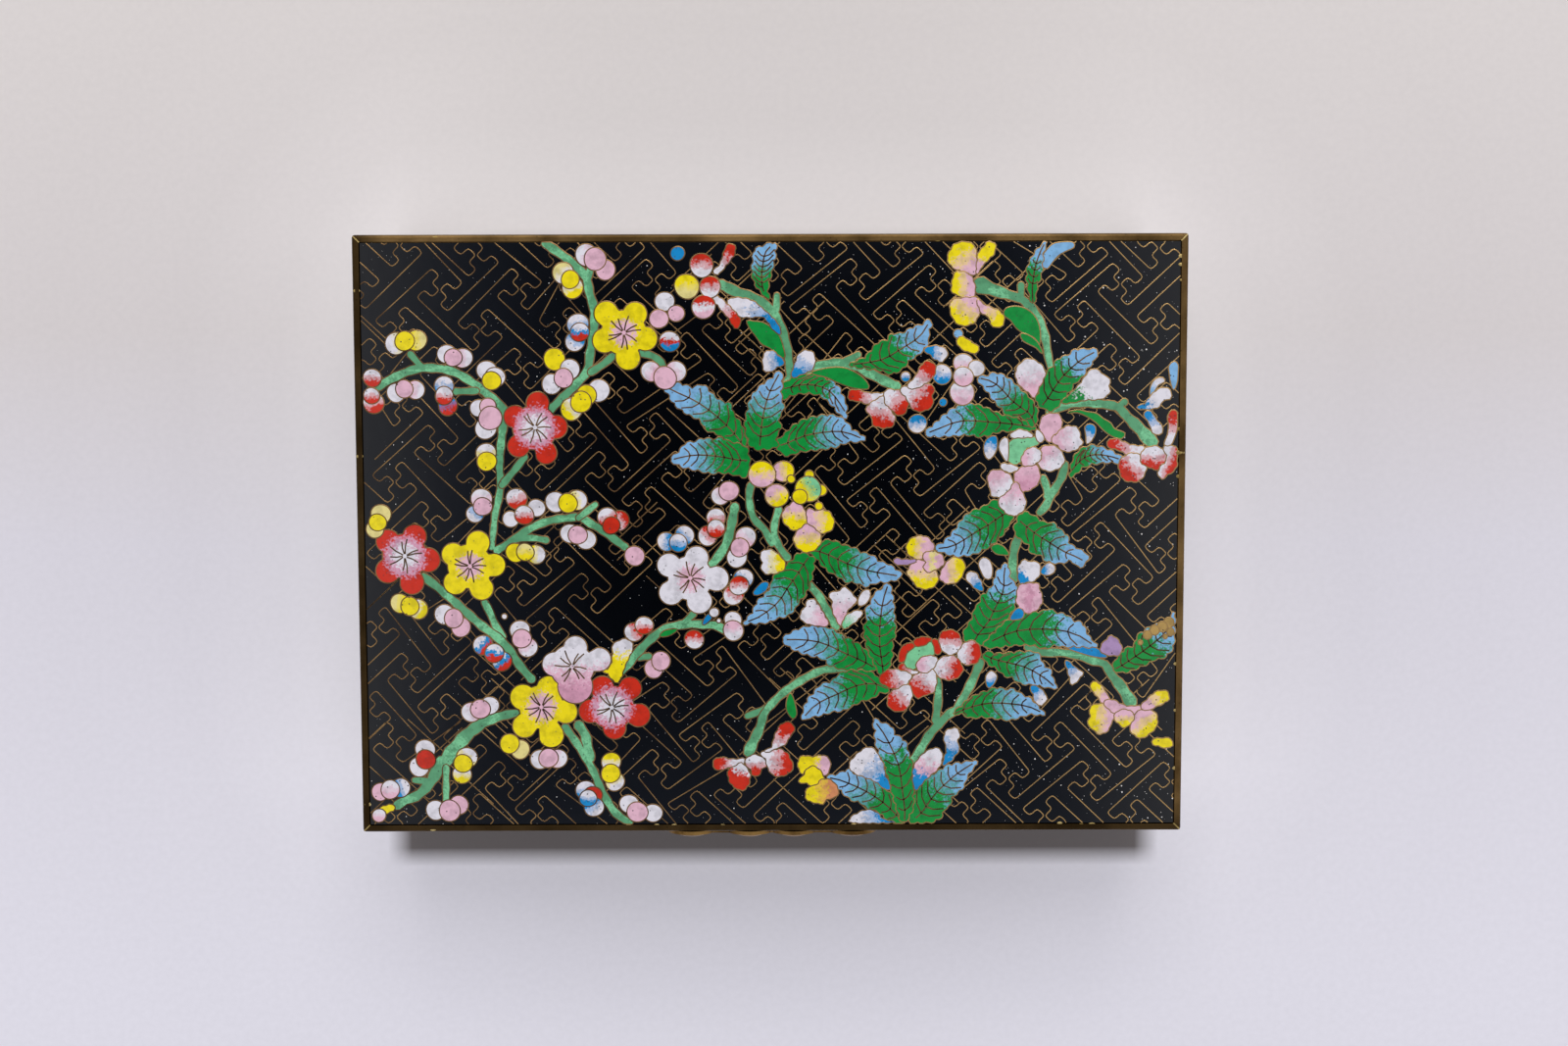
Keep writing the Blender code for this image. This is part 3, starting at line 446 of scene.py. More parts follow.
# The other flowers and drops, each flower's petals together, the lowest first.
FLOWERS: Tuple[Tuple[Cell, ...], ...] = (
    (
        Cell("wr", 60, (-96, 446, -86, 454, -80, 466, -76, 480, -69, 491, -60, 488, -60, 476, -68, 464,
            -78, 452, -88, 442)),
        Cell("wr", -50, (-98, 400, -88, 390, -80, 380, -70, 369, -60, 352, -52, 356, -52, 368, -62, 380,
            -74, 392, -88, 404)),
    ),
    (
        Cell("wb", -35, (-72, 393, -66, 400, -50, 401, -30, 396, -15, 384, 2, 369, 12, 357, 17, 342, 6,
            348, -4, 362, -14, 371, -30, 370, -50, 371, -64, 379)),
        Cell("wb", 0, (-12, 303, -6, 312, 4, 312, 12, 305, 23, 293, 11, 286, -2, 278, -11, 282, -12,
            292)),
        Cell("bw", 60, (36, 269, 42, 292, 48, 307, 59, 313, 71, 309, 74, 296, 69, 282, 54, 275)),
    ),
    (
        Cell("ky", -90, (22, 44, 20, 30, 26, 20, 38, 11, 52, 13, 59, 22, 59, 38, 52, 50, 40, 59, 32, 52)),
        Cell("ky", 0, (62, 46, 74, 42, 88, 44, 100, 38, 106, 24, 102, 12, 89, 6, 76, 10, 63, 22)),
        Cell("ky", -90, (52, 14, 62, 20, 73, 12, 82, 4, 84, -9, 76, -21, 60, -27, 46, -20, 39, -7, 43,
            5)),
    ),
    (
        Cell("wy", 0, (-18, -32, -12, -25, 0, -24, 12, -32, 23, -46, 21, -56, 9, -62, -9, -63, -16, -54,
            -14, -45)),
        Cell("b", 0, (-30, -96, -16, -80, -5, -80, -10, -93, -24, -100)),
    ),
    (
        Cell("rw", 0, (131, 240, 136, 246, 148, 246, 165, 241, 192, 240, 186, 229, 175, 223, 160, 225,
            148, 229, 134, 231)),
        Cell("rw", 70, (192, 236, 176, 229, 163, 219, 163, 210, 171, 202, 173, 189, 187, 184, 203, 186,
            209, 198, 203, 210, 199, 223)),
        Cell("wr", -45, (194, 246, 210, 246, 223, 242, 230, 228, 230, 219, 223, 206, 211, 207, 204, 215,
            195, 222, 192, 234)),
        Cell("wr", -35, (218, 248, 234, 253, 250, 258, 265, 256, 275, 249, 271, 238, 272, 222, 260, 213,
            245, 212, 236, 220, 230, 232)),
        Cell("wr", 55, (230, 252, 236, 260, 245, 270, 253, 286, 262, 294, 274, 290, 277, 280, 270, 266,
            258, 257, 243, 250)),
    ),
    (
        Cell("bw", 0, (258, 314, 273, 320, 288, 318, 297, 309, 288, 295, 276, 299, 268, 307)),
    ),
    (
        Cell("yk", -50, (297, 468, 305, 485, 312, 491, 330, 493, 342, 485, 344, 470, 344, 455, 343, 440,
            325, 445, 310, 450, 303, 455)),
        Cell("kyy", 70, (347, 464, 350, 478, 358, 485, 362, 492, 371, 493, 376, 488, 373, 474, 365, 466,
            354, 454, 346, 442)),
        Cell("yk", 0, (304, 421, 310, 442, 322, 444, 336, 436, 342, 420, 341, 406, 332, 398, 315, 406,
            306, 410)),
        Cell("yk", 50, (304, 396, 302, 382, 306, 369, 316, 357, 331, 356, 343, 362, 350, 376, 351, 388,
            346, 400, 330, 401, 315, 399)),
        Cell("ky", -40, (347, 399, 356, 390, 370, 384, 384, 378, 391, 368, 389, 356, 379, 352, 370, 358,
            367, 369, 356, 375, 350, 384)),
        Cell("y", 0, (314, 333, 323, 335, 336, 327, 348, 319, 347, 310, 336, 310, 322, 316, 315, 324)),
    ),
    (
        Cell("wk", -90, (413, 279, 420, 290, 432, 298, 446, 294, 456, 286, 461, 274, 456, 260, 449, 247,
            444, 234, 434, 243, 422, 252, 414, 264)),
        Cell("gww", 40, (490, 225, 504, 238, 520, 255, 532, 272, 542, 281, 552, 277, 561, 269, 570, 264,
            568, 253, 570, 244, 563, 235, 550, 231, 530, 230, 510, 226)),
        Cell("wb", 60, (530, 184, 538, 188, 546, 184, 546, 173, 540, 161, 533, 156, 532, 168)),
        Cell("tw", 60, (639, 236, 640, 252, 648, 264, 659, 266, 662, 260, 652, 255, 646, 246)),
        Cell("t", 60, (670, 286, 678, 293, 684, 288, 684, 275, 683, 260, 678, 247, 673, 260, 671, 274)),
        Cell("bww", 20, (616, 217, 630, 223, 640, 236, 652, 246, 664, 249, 673, 242, 671, 231, 660, 229,
            654, 219, 642, 215, 628, 214)),
        Cell("bw", -60, (629, 208, 640, 209, 646, 199, 654, 190, 660, 180, 654, 171, 644, 175, 639, 188,
            632, 199)),
        Cell("bw", -90, (360, 154, 367, 165, 379, 168, 381, 158, 380, 146, 374, 135, 367, 130, 361, 139)),
    ),
    (
        Cell("rw", 0, (567, 153, 572, 162, 583, 163, 596, 157, 610, 152, 627, 150, 633, 142, 625, 136,
            610, 135, 598, 139, 588, 145, 576, 148)),
        Cell("rw", 45, (612, 139, 596, 133, 588, 123, 589, 110, 595, 96, 608, 92, 620, 93, 628, 101, 633,
            116, 629, 130)),
        Cell("rw", 90, (628, 144, 638, 149, 652, 150, 662, 142, 669, 132, 662, 122, 652, 112, 639, 116,
            627, 122, 624, 131)),
        Cell("wr", -20, (662, 149, 674, 152, 684, 146, 684, 134, 684, 118, 678, 109, 666, 101, 660, 96,
            654, 106, 658, 116, 667, 125, 668, 136)),
        Cell("wr", 80, (664, 154, 669, 170, 671, 186, 669, 200, 675, 211, 683, 209, 684, 196, 684, 182,
            681, 170, 674, 154)),
    ),
    (
        Cell("k", 90, (462, 204, 474, 206, 484, 205, 489, 196, 489, 182, 483, 169, 473, 159, 462, 165,
            454, 176, 454, 190, 458, 200)),
        Cell("kw", 0, (473, 162, 486, 176, 498, 184, 514, 183, 520, 174, 520, 166, 525, 158, 517, 148,
            504, 143, 492, 145, 484, 153)),
        Cell("kw", -45, (455, 147, 468, 152, 482, 149, 492, 137, 494, 124, 484, 114, 468, 110, 456, 116,
            450, 125, 458, 136)),
        Cell("pk", 90, (445, 121, 452, 110, 453, 96, 445, 83, 426, 75, 420, 82, 412, 93, 412, 104, 421,
            114, 433, 118)),
        Cell("kw", -60, (368, 105, 380, 111, 396, 107, 406, 98, 407, 86, 400, 74, 386, 66, 373, 69, 371,
            80, 367, 91)),
        Cell("kw", -90, (413, 91, 422, 76, 429, 62, 429, 49, 420, 38, 406, 35, 394, 43, 385, 55, 388, 64,
            402, 75)),
        Cell("m", 0, (399, 136, 400, 152, 410, 164, 429, 167, 446, 165, 452, 158, 444, 152, 432, 149, 426,
            140, 425, 129, 415, 122, 404, 124)),
        Cell("kw", 0, (423, 124, 426, 138, 437, 148, 450, 147, 456, 136, 451, 126, 440, 120, 429, 119)),
        Cell("w", 0, (404, 167, 410, 176, 422, 179, 435, 174, 440, 168)),
        Cell("w", 0, (399, 164, 389, 162, 385, 150, 390, 138, 399, 127)),
        Cell("w", 0, (387, 118, 394, 122, 405, 120, 417, 115, 410, 109, 398, 109)),
        Cell("w", 0, (448, 179, 457, 172, 460, 163, 453, 158, 447, 167)),
    ),
    (
        Cell("wk", -20, (50, -132, 59, -120, 62, -110, 72, -109, 80, -119, 89, -134, 96, -152, 75, -152,
            58, -147, 51, -141)),
        Cell("wk", -90, (101, -96, 112, -96, 125, -88, 134, -96, 144, -109, 139, -117, 131, -124, 126,
            -136, 120, -154, 112, -144, 104, -125, 105, -112, 100, -104)),
        Cell("w", 0, (149, -118, 149, -106, 157, -94, 166, -93, 167, -104, 159, -116)),
        Cell("mw", 40, (122, -158, 124, -142, 136, -131, 153, -128, 151, -138, 138, -149)),
    ),
    (
        Cell("yk", 0, (230, -25, 233, -10, 245, -2, 261, -2, 271, -10, 276, -22, 265, -30, 255, -39, 240,
            -36)),
        Cell("ky", -90, (233, -56, 245, -43, 259, -44, 263, -60, 278, -60, 282, -74, 276, -85, 263, -90,
            248, -86, 240, -75, 232, -66)),
        Cell("ky", 0, (287, -65, 295, -50, 305, -39, 318, -39, 328, -50, 324, -65, 316, -77, 300, -81,
            288, -75)),
        Cell("kck", 0, (257, -34, 268, -27, 282, -29, 291, -37, 291, -49, 280, -56, 265, -61, 259, -53,
            263, -45)),
        Cell("l", 0, (207, -44, 213, -39, 226, -41, 244, -41, 240, -46, 220, -49)),
    ),
    (
        Cell("w", 0, (352, -47, 359, -38, 369, -42, 374, -56, 372, -72, 363, -72, 356, -60)),
        Cell("wb", -60, (330, -70, 338, -62, 347, -65, 356, -80, 358, -93, 348, -90, 337, -80)),
        Cell("bww", 45, (422, -48, 430, -42, 440, -46, 450, -45, 455, -54, 454, -66, 446, -76, 432, -79,
            422, -81, 419, -68, 419, -56)),
        Cell("bw", 0, (457, -63, 463, -52, 472, -47, 480, -53, 479, -62, 468, -67)),
        Cell("kpk", 0, (418, -90, 426, -83, 440, -82, 452, -83, 455, -94, 459, -106, 456, -120, 444, -130,
            430, -131, 422, -124, 416, -110, 418, -100)),
        Cell("b", 0, (406, -142, 412, -130, 420, -124, 428, -130, 426, -140, 414, -143)),
        Cell("l", 0, (560, -190, 570, -178, 578, -172, 589, -180, 595, -193, 590, -204, 573, -204, 562,
            -199)),
    ),
    (
        Cell("m", 0, (227, -212, 230, -200, 242, -191, 253, -189, 259, -182, 274, -183, 277, -195, 273,
            -206, 258, -206, 250, -214, 249, -224, 238, -228, 229, -223)),
        Cell("r", 0, (218, -215, 218, -200, 226, -187, 240, -184, 242, -190, 230, -200, 226, -213)),
        Cell("r", 0, (242, -185, 247, -176, 260, -174, 271, -176, 266, -182, 254, -188)),
        Cell("r", 0, (273, -178, 283, -179, 289, -190, 286, -201, 279, -201, 277, -189)),
        Cell("rw", 0, (216, -223, 224, -220, 232, -228, 249, -233, 236, -237, 220, -232)),
        Cell("wr", 90, (286, -172, 292, -164, 304, -162, 313, -164, 320, -173, 323, -184, 318, -196, 306,
            -203, 294, -198, 287, -186)),
        Cell("wr", 0, (322, -192, 332, -182, 345, -181, 353, -190, 355, -203, 350, -215, 335, -220, 323,
            -216, 316, -206)),
        Cell("wr", -20, (276, -223, 285, -212, 300, -206, 314, -208, 322, -220, 325, -230, 316, -242, 302,
            -246, 290, -243, 280, -235)),
        Cell("rw", 50, (249, -236, 263, -234, 274, -228, 280, -242, 279, -256, 274, -268, 260, -272, 250,
            -277, 240, -268, 235, -254, 240, -244)),
        Cell("rw", 20, (184, -246, 193, -233, 208, -229, 224, -232, 237, -237, 234, -248, 224, -257, 209,
            -261, 194, -255)),
        Cell("rw", 50, (203, -268, 216, -262, 232, -255, 239, -269, 236, -283, 229, -296, 215, -300, 202,
            -294, 198, -282)),
        Cell("kw", 0, (247, -226, 252, -212, 265, -206, 280, -208, 280, -218, 272, -228, 260, -234)),
    ),
    (
        Cell("yyk", 0, (46, -386, 54, -378, 70, -380, 85, -377, 97, -383, 99, -396, 93, -410, 88, -410,
            80, -401, 69, -396, 59, -399, 53, -408, 47, -400)),
        Cell("y", 0, (46, -420, 54, -413, 60, -402, 70, -396, 82, -403, 88, -416, 82, -426, 72, -430, 60,
            -424, 50, -423)),
        Cell("yo", 0, (58, -444, 64, -432, 76, -429, 86, -419, 100, -420, 110, -430, 113, -442, 104, -450,
            94, -452, 87, -460, 75, -458, 62, -454)),
    ),
    (
        Cell("rw", 0, (-100, -391, -94, -382, -82, -381, -65, -384, -47, -383, -50, -393, -66, -395, -79,
            -398, -92, -401)),
        Cell("rrw", 70, (-73, -401, -63, -396, -52, -390, -43, -399, -38, -410, -40, -426, -50, -436, -64,
            -430, -72, -420, -74, -410)),
        Cell("wr", -90, (-45, -391, -40, -380, -28, -376, -16, -381, -8, -392, -18, -400, -23, -411, -33,
            -409, -35, -400)),
        Cell("wr", -20, (-19, -372, 0, -369, 13, -366, 26, -373, 32, -385, 36, -396, 28, -407, 12, -412,
            0, -407, -7, -394, -10, -382)),
        Cell("wr", 60, (-13, -369, 0, -363, 4, -350, 10, -333, 20, -321, 33, -321, 38, -332, 30, -344, 22,
            -357, 8, -363, -4, -369)),
    ),
    (
        Cell("wb", -50, (133, -393, 140, -382, 152, -370, 166, -363, 177, -369, 183, -380, 190, -392, 193,
            -410, 202, -430, 196, -436, 178, -422, 160, -414, 140, -406)),
        Cell("wb", 0, (134, -487, 146, -478, 164, -472, 180, -477, 190, -488, 206, -492, 205, -493, 140,
            -493)),
        Cell("wkb", -110, (243, -398, 254, -380, 266, -370, 280, -365, 289, -370, 290, -385, 284, -399,
            272, -410, 259, -422, 247, -436, 242, -420)),
        Cell("wb", -90, (306, -331, 317, -332, 320, -342, 316, -354, 320, -366, 313, -376, 306, -386, 293,
            -393, 296, -380, 299, -364, 295, -350, 297, -337)),
    ),
    (
        Cell("wb", -90, (366, -240, 374, -232, 383, -240, 379, -252, 370, -260, 366, -252)),
        Cell("bw", -50, (441, -258, 454, -260, 464, -270, 468, -280, 460, -290, 450, -285, 446, -272)),
        Cell("bw", -60, (500, -214, 510, -220, 518, -228, 529, -235, 522, -246, 512, -255, 508, -243, 504,
            -229)),
    ),
    (
        Cell("yk", -50, (544, -253, 553, -252, 563, -260, 570, -272, 576, -282, 565, -287, 556, -276, 546,
            -264)),
        Cell("yk", 0, (543, -296, 553, -290, 565, -290, 575, -297, 584, -308, 578, -322, 573, -334, 560,
            -340, 550, -333, 540, -323, 544, -310)),
        Cell("k", 0, (566, -286, 580, -282, 596, -290, 610, -294, 626, -293, 636, -300, 622, -306, 604,
            -300, 589, -306, 576, -298)),
        Cell("yk", 90, (584, -312, 591, -302, 603, -299, 614, -304, 620, -315, 610, -323, 602, -329, 592,
            -322)),
        Cell("yk", 135, (622, -303, 638, -300, 652, -303, 657, -315, 654, -330, 643, -340, 632, -347, 619,
            -342, 612, -332, 615, -322, 620, -314)),
        Cell("ky", 45, (629, -294, 640, -282, 650, -272, 662, -267, 674, -269, 676, -280, 666, -288, 654,
            -293, 641, -299)),
        Cell("y", 0, (650, -351, 664, -349, 680, -350, 683, -360, 674, -364, 660, -361, 652, -358)),
    ),
    (
        Cell("wyy", -90, (-269, -185, -262, -181, -252, -176, -240, -179, -236, -189, -241, -203, -249,
            -219, -256, -240, -262, -249, -270, -245, -278, -234, -285, -231, -274, -223, -270, -210,
            -269, -195)),
        Cell("y", 0, (-672, -469, -660, -462, -646, -462, -648, -470, -658, -474, -668, -478)),
        Cell("b", 0, (-102, -134, -102, -140, -110, -148, -116, -150, -114, -142, -108, -134)),
    ),
)

# Beads of solder on the lid's rim: x, y and radius.
SOLDER: Tuple[Tuple[float, float, float], ...] = (
    (-56, 50.3, 0.35), (9, 49.9, 0.3), (28, 49.8, 0.35), (-58, -50.3, 0.4), (54.8, -49.7, 0.35),
    (49.3, -49.5, 0.3), (53, -49.8, 0.3), (-24.5, -49.8, 0.35), (-19.7, -49.7, 0.3), (-16.7, -49.8, 0.35),
    (-8.4, -49.8, 0.3), (14, -49.7, 0.3), (68.9, 47, 0.4), (68.8, 45.6, 0.35), (69, 43, 0.3),
    (69, 10, 0.4), (69, 14, 0.5), (69, 18, 0.4), (69, -30, 0.35), (69, -40, 0.4), (68.9, -22, 0.35),
    (-69.3, 41.5, 0.4), (-69.3, 13.7, 0.4), (-69.1, -46, 0.4),
)


def pairs(flat: Sequence[int]) -> List[Point]:
    """Turn a flat run of readings into points.

    Args:
        flat: x and y in turn, in tenths of a millimetre.

    Returns:
        The points in millimetres.
    """
    return [(x / 10, y / 10) for x, y in zip(flat[::2], flat[1::2])]


def smooth(points: Sequence[Point], closed: bool, gap: float = 0.45) -> List[Point]:
    """Draw a Catmull-Rom curve through given points.

    Args:
        points: The places that the curve goes through.
        closed: Whether it comes back to its start.
        gap: About how far apart the new points are.

    Returns:
        The points of the curve.
    """
    count = len(points)
    out: List[Point] = []
    for i in range(count if closed else count - 1):
        if closed:
            a, b, c, d = (points[(i + k) % count] for k in (-1, 0, 1, 2))
        else:
            a, b, c, d = (points[min(max(i + k, 0), count - 1)] for k in (-1, 0, 1, 2))
        steps = max(2, int(math.dist(b, c) / gap + 0.5))
        for k in range(steps):
            t = k / steps
            out.append(
                tuple(
                    0.5 * (
                        2 * q + (r - p) * t + (
                            2 * p - 5 * q + 4 * r - s
                        ) * t * t + (3 * q - p - 3 * r + s) * t**3
                    )
                    for p, q, r, s in zip(a, b, c, d)
                )
            )
    if not closed:
        out.append(tuple(points[-1]))
    return out


def rounded(points: Sequence[Point], radius: float = 0.4) -> List[Point]:
    """Turn each corner of a bent wire through a short bow.

    Args:
        points: The corners of the wire.
        radius: How far from the corner the bow starts.

    Returns:
        The wire's points.
    """
    out = [points[0]]
    for a, b, c in zip(points, points[1:], points[2:]):
        back = Vector(a) - Vector(b)
        ahead = Vector(c) - Vector(b)
        if back.length < 1e-6 or ahead.length < 1e-6:
            continue
        near = Vector(b) + back.normalized() * min(radius, back.length * 0.45)
        far = Vector(b) + ahead.normalized() * min(radius, ahead.length * 0.45)
        middle = (near + far) * 0.25 + Vector(b) * 0.5
        out += [tuple(near), tuple(middle), tuple(far)]
    out.append(points[-1])
    return out


def scalloped(points: Sequence[Point], wave: float, height: float) -> List[Point]:
    """Push a closed edge out in small bows, as leaf and petal wires are bent.

    Args:
        points: The edge.
        wave: The length of one bow.
        height: How far a bow stands out.

    Returns:
        The new edge.
    """
    count = len(points)
    area = sum(a[0] * b[1] - b[0] * a[1] for a, b in zip(points, list(points[1:]) + [points[0]]))
    turn = 1.0 if area > 0 else -1.0
    total = sum(math.dist(points[i], points[(i + 1) % count]) for i in range(count))
    bows = max(3, round(total / wave))
    out: List[Point] = []
    run = 0.0
    for i in range(count):
        a, b = points[i - 1], points[(i + 1) % count]
        length = max(math.dist(a, b), 1e-6)
        normal = ((b[1] - a[1]) / length * turn, -(b[0] - a[0]) / length * turn)
        push = height * (abs(math.sin(math.pi * bows * run / total)) - 0.5)
        out.append((points[i][0] + normal[0] * push, points[i][1] + normal[1] * push))
        run += math.dist(points[i], points[(i + 1) % count])
    return out


def clipped(points: Sequence[Point], half_width: float, half_depth: float) -> List[List[Point]]:
    """Keep the stretches of a wire that lie inside a panel.

    Args:
        points: The wire.
        half_width: Half the panel's width.
        half_depth: Half the panel's depth.

    Returns:
        The stretches left.
    """
    out: List[List[Point]] = []
    run: List[Point] = []
    for a, b in zip(points, points[1:]):
        low, high = 0.0, 1.0
        for p, q, lim in ((a[0], b[0], half_width), (a[1], b[1], half_depth)):
            for sign in (1, -1):
                start, end = sign * p - lim, sign * q - lim
                if start > 0 and end > 0:
                    low, high = 1.0, 0.0
                elif start > 0:
                    low = max(low, start / (start - end))
                elif end > 0:
                    high = min(high, start / (start - end))
        if low >= high:
            if len(run) > 1:
                out.append(run)
            run = []
            continue
        first = (a[0] + (b[0] - a[0]) * low, a[1] + (b[1] - a[1]) * low)
        last = (a[0] + (b[0] - a[0]) * high, a[1] + (b[1] - a[1]) * high)
        if low > 0 or not run:
            if len(run) > 1:
                out.append(run)
            run = [first]
        run.append(last)
        if high < 1:
            out.append(run)
            run = []
    if len(run) > 1:
        out.append(run)
    return out


def linear(code: str) -> Colour:
    """Change a screen colour into Blender's linear one.

    Args:
        code: The colour as #rrggbb.

    Returns:
        Red, green, blue and alpha.
    """
    parts = [int(code[i : i + 2], 16) / 255 for i in (1, 3, 5)]
    spread = [c / 12.92 if c <= 0.04045 else ((c + 0.055) / 1.055) ** 2.4 for c in parts]
    return (spread[0], spread[1], spread[2], 1.0)


class Fret:
    """The wire fret of the ground: crossing points whose four hooked arms join their neighbours'."""

    NE = Vector((0.732, 0.681))
    NW = Vector((-0.732, 0.681))
    SE = Vector((0.732, -0.681))
    SW = Vector((-0.732, -0.681))

    def __init__(self, even: Sequence[Point], odd: Sequence[Point], sizes: Inlay) -> None:
        """Take both kinds of crossings and the four directions in which their arms turn."""
        self.even = [Vector(p) for p in even]
        self.odd = [Vector(p) for p in odd]
        self.sizes = sizes
        ne, nw, se, sw = self.NE, self.NW, self.SE, self.SW
        self.even_arms = {
            "NW": (nw, ne, nw, sw), "NE": (ne, se, ne, nw), "SE": (se, sw, se, ne), "SW": (sw, nw, sw, se)
        }
        self.odd_arms = {
            "NW": (nw, sw, nw, ne), "NE": (ne, nw, ne, se), "SE": (se, ne, se, sw), "SW": (sw, se, sw, nw)
        }

    def _arm(self, start: Vector, ways: Sequence[Vector]) -> List[Vector]:
        """Draw one arm of a crossing.

        Args:
            start: The crossing.
            ways: The directions of its runs, one after another.

        Returns:
            The arm's points.
        """
        points = [start.copy()]
        for way in ways[:3]:
            points.append(points[-1] + way * self.sizes.fret_step)
        # two wires turn back to back where the arms meet, with a small gap between them
        side = 1.0 if ways[0].x > 0 else -1.0
        rise = 1.0 if ways[0].y > 0 else -1.0
        gap = self.sizes.fret_gap + self.sizes.fret_gap_more * abs(math.sin(start.x * 3.1 + start.y))
        apex = start + Vector((side * gap, 0.0))
        return [
            apex, apex + Vector((side * self.sizes.notch_out, rise * self.sizes.notch_up))
        ] + points[1:]

    def fill(self, half_width: float, half_depth: float) -> None:
        """Add the crossing points that the flowers hide, so that wires reach every gap between them.

        Args:
            half_width: Half the panel's width.
            half_depth: Half the panel's depth.
        """
        across, up = self.sizes.fret_across, self.sizes.fret_up
        for _ in range(3):
            for own, other in ((self.even, self.odd), (self.odd, self.even)):
                for start in list(own):
                    for step in ((across, up), (-across, up), (across, -up), (-across, -up)):
                        spot = start + Vector(step)
                        if abs(spot.x) > half_width or abs(spot.y) > half_depth:
                            continue
                        if min((spot - k).length for k in self.even + self.odd) > self.sizes.fret_room:
                            other.append(spot)

    def wires(self) -> List[List[Point]]:
        """Work out every wire of the fret.

        Returns:
            The wires' corners.
        """
        taken = set()
        out: List[List[Vector]] = []
        for start in self.even:
            for name, ways in self.even_arms.items():
                arm = self._arm(start, ways)
                wanted = start + ways[3] * self.sizes.fret_reach
                best = min(
                    range(len(self.odd)), key=lambda i: (self.odd[i] - wanted).length, default=None
                )
                near = best is not None and (self.odd[best] - wanted).length < self.sizes.fret_slack
                if near and (best, name) not in taken:
                    taken.add((best, name))
                    other = self._arm(self.odd[best], self.odd_arms[name])
                    out.append(arm + other[::-1])
                else:
                    out.append(arm + [arm[-1] + ways[3] * self.sizes.fret_long])
        for i, start in enumerate(self.odd):
            for name, ways in self.odd_arms.items():
                if (i, name) not in taken:
                    arm = self._arm(start, ways)
                    out.append(arm + [arm[-1] + ways[3] * self.sizes.fret_long])
        return [[tuple(p) for p in wire] for wire in out]


class Panel:
    """A flat face that the inlay is laid on, with its own right, up and outward directions."""

    def __init__(
        self, name: str, origin: Sequence[float], right: Sequence[float], up: Sequence[float], size: Point
    ) -> None:
        """Take the face's name, its middle in millimetres, its two directions and its size."""
        self.name = name
        self.origin = Vector(origin)
        self.right = Vector(right)
        self.up = Vector(up)
        self.out = self.right.cross(self.up)
        self.half = (size[0] / 2, size[1] / 2)

    def place(self, obj: bpy.types.Object) -> None:
        """Move a mesh drawn in the panel's millimetres to the panel, and leave its object at the origin.

        Args:
            obj: The mesh object.
        """
        for vertex in obj.data.vertices:
            x, y, z = vertex.co
            vertex.co = (self.origin + self.right * x + self.up * y + self.out * z) * MM
        obj.data.update()


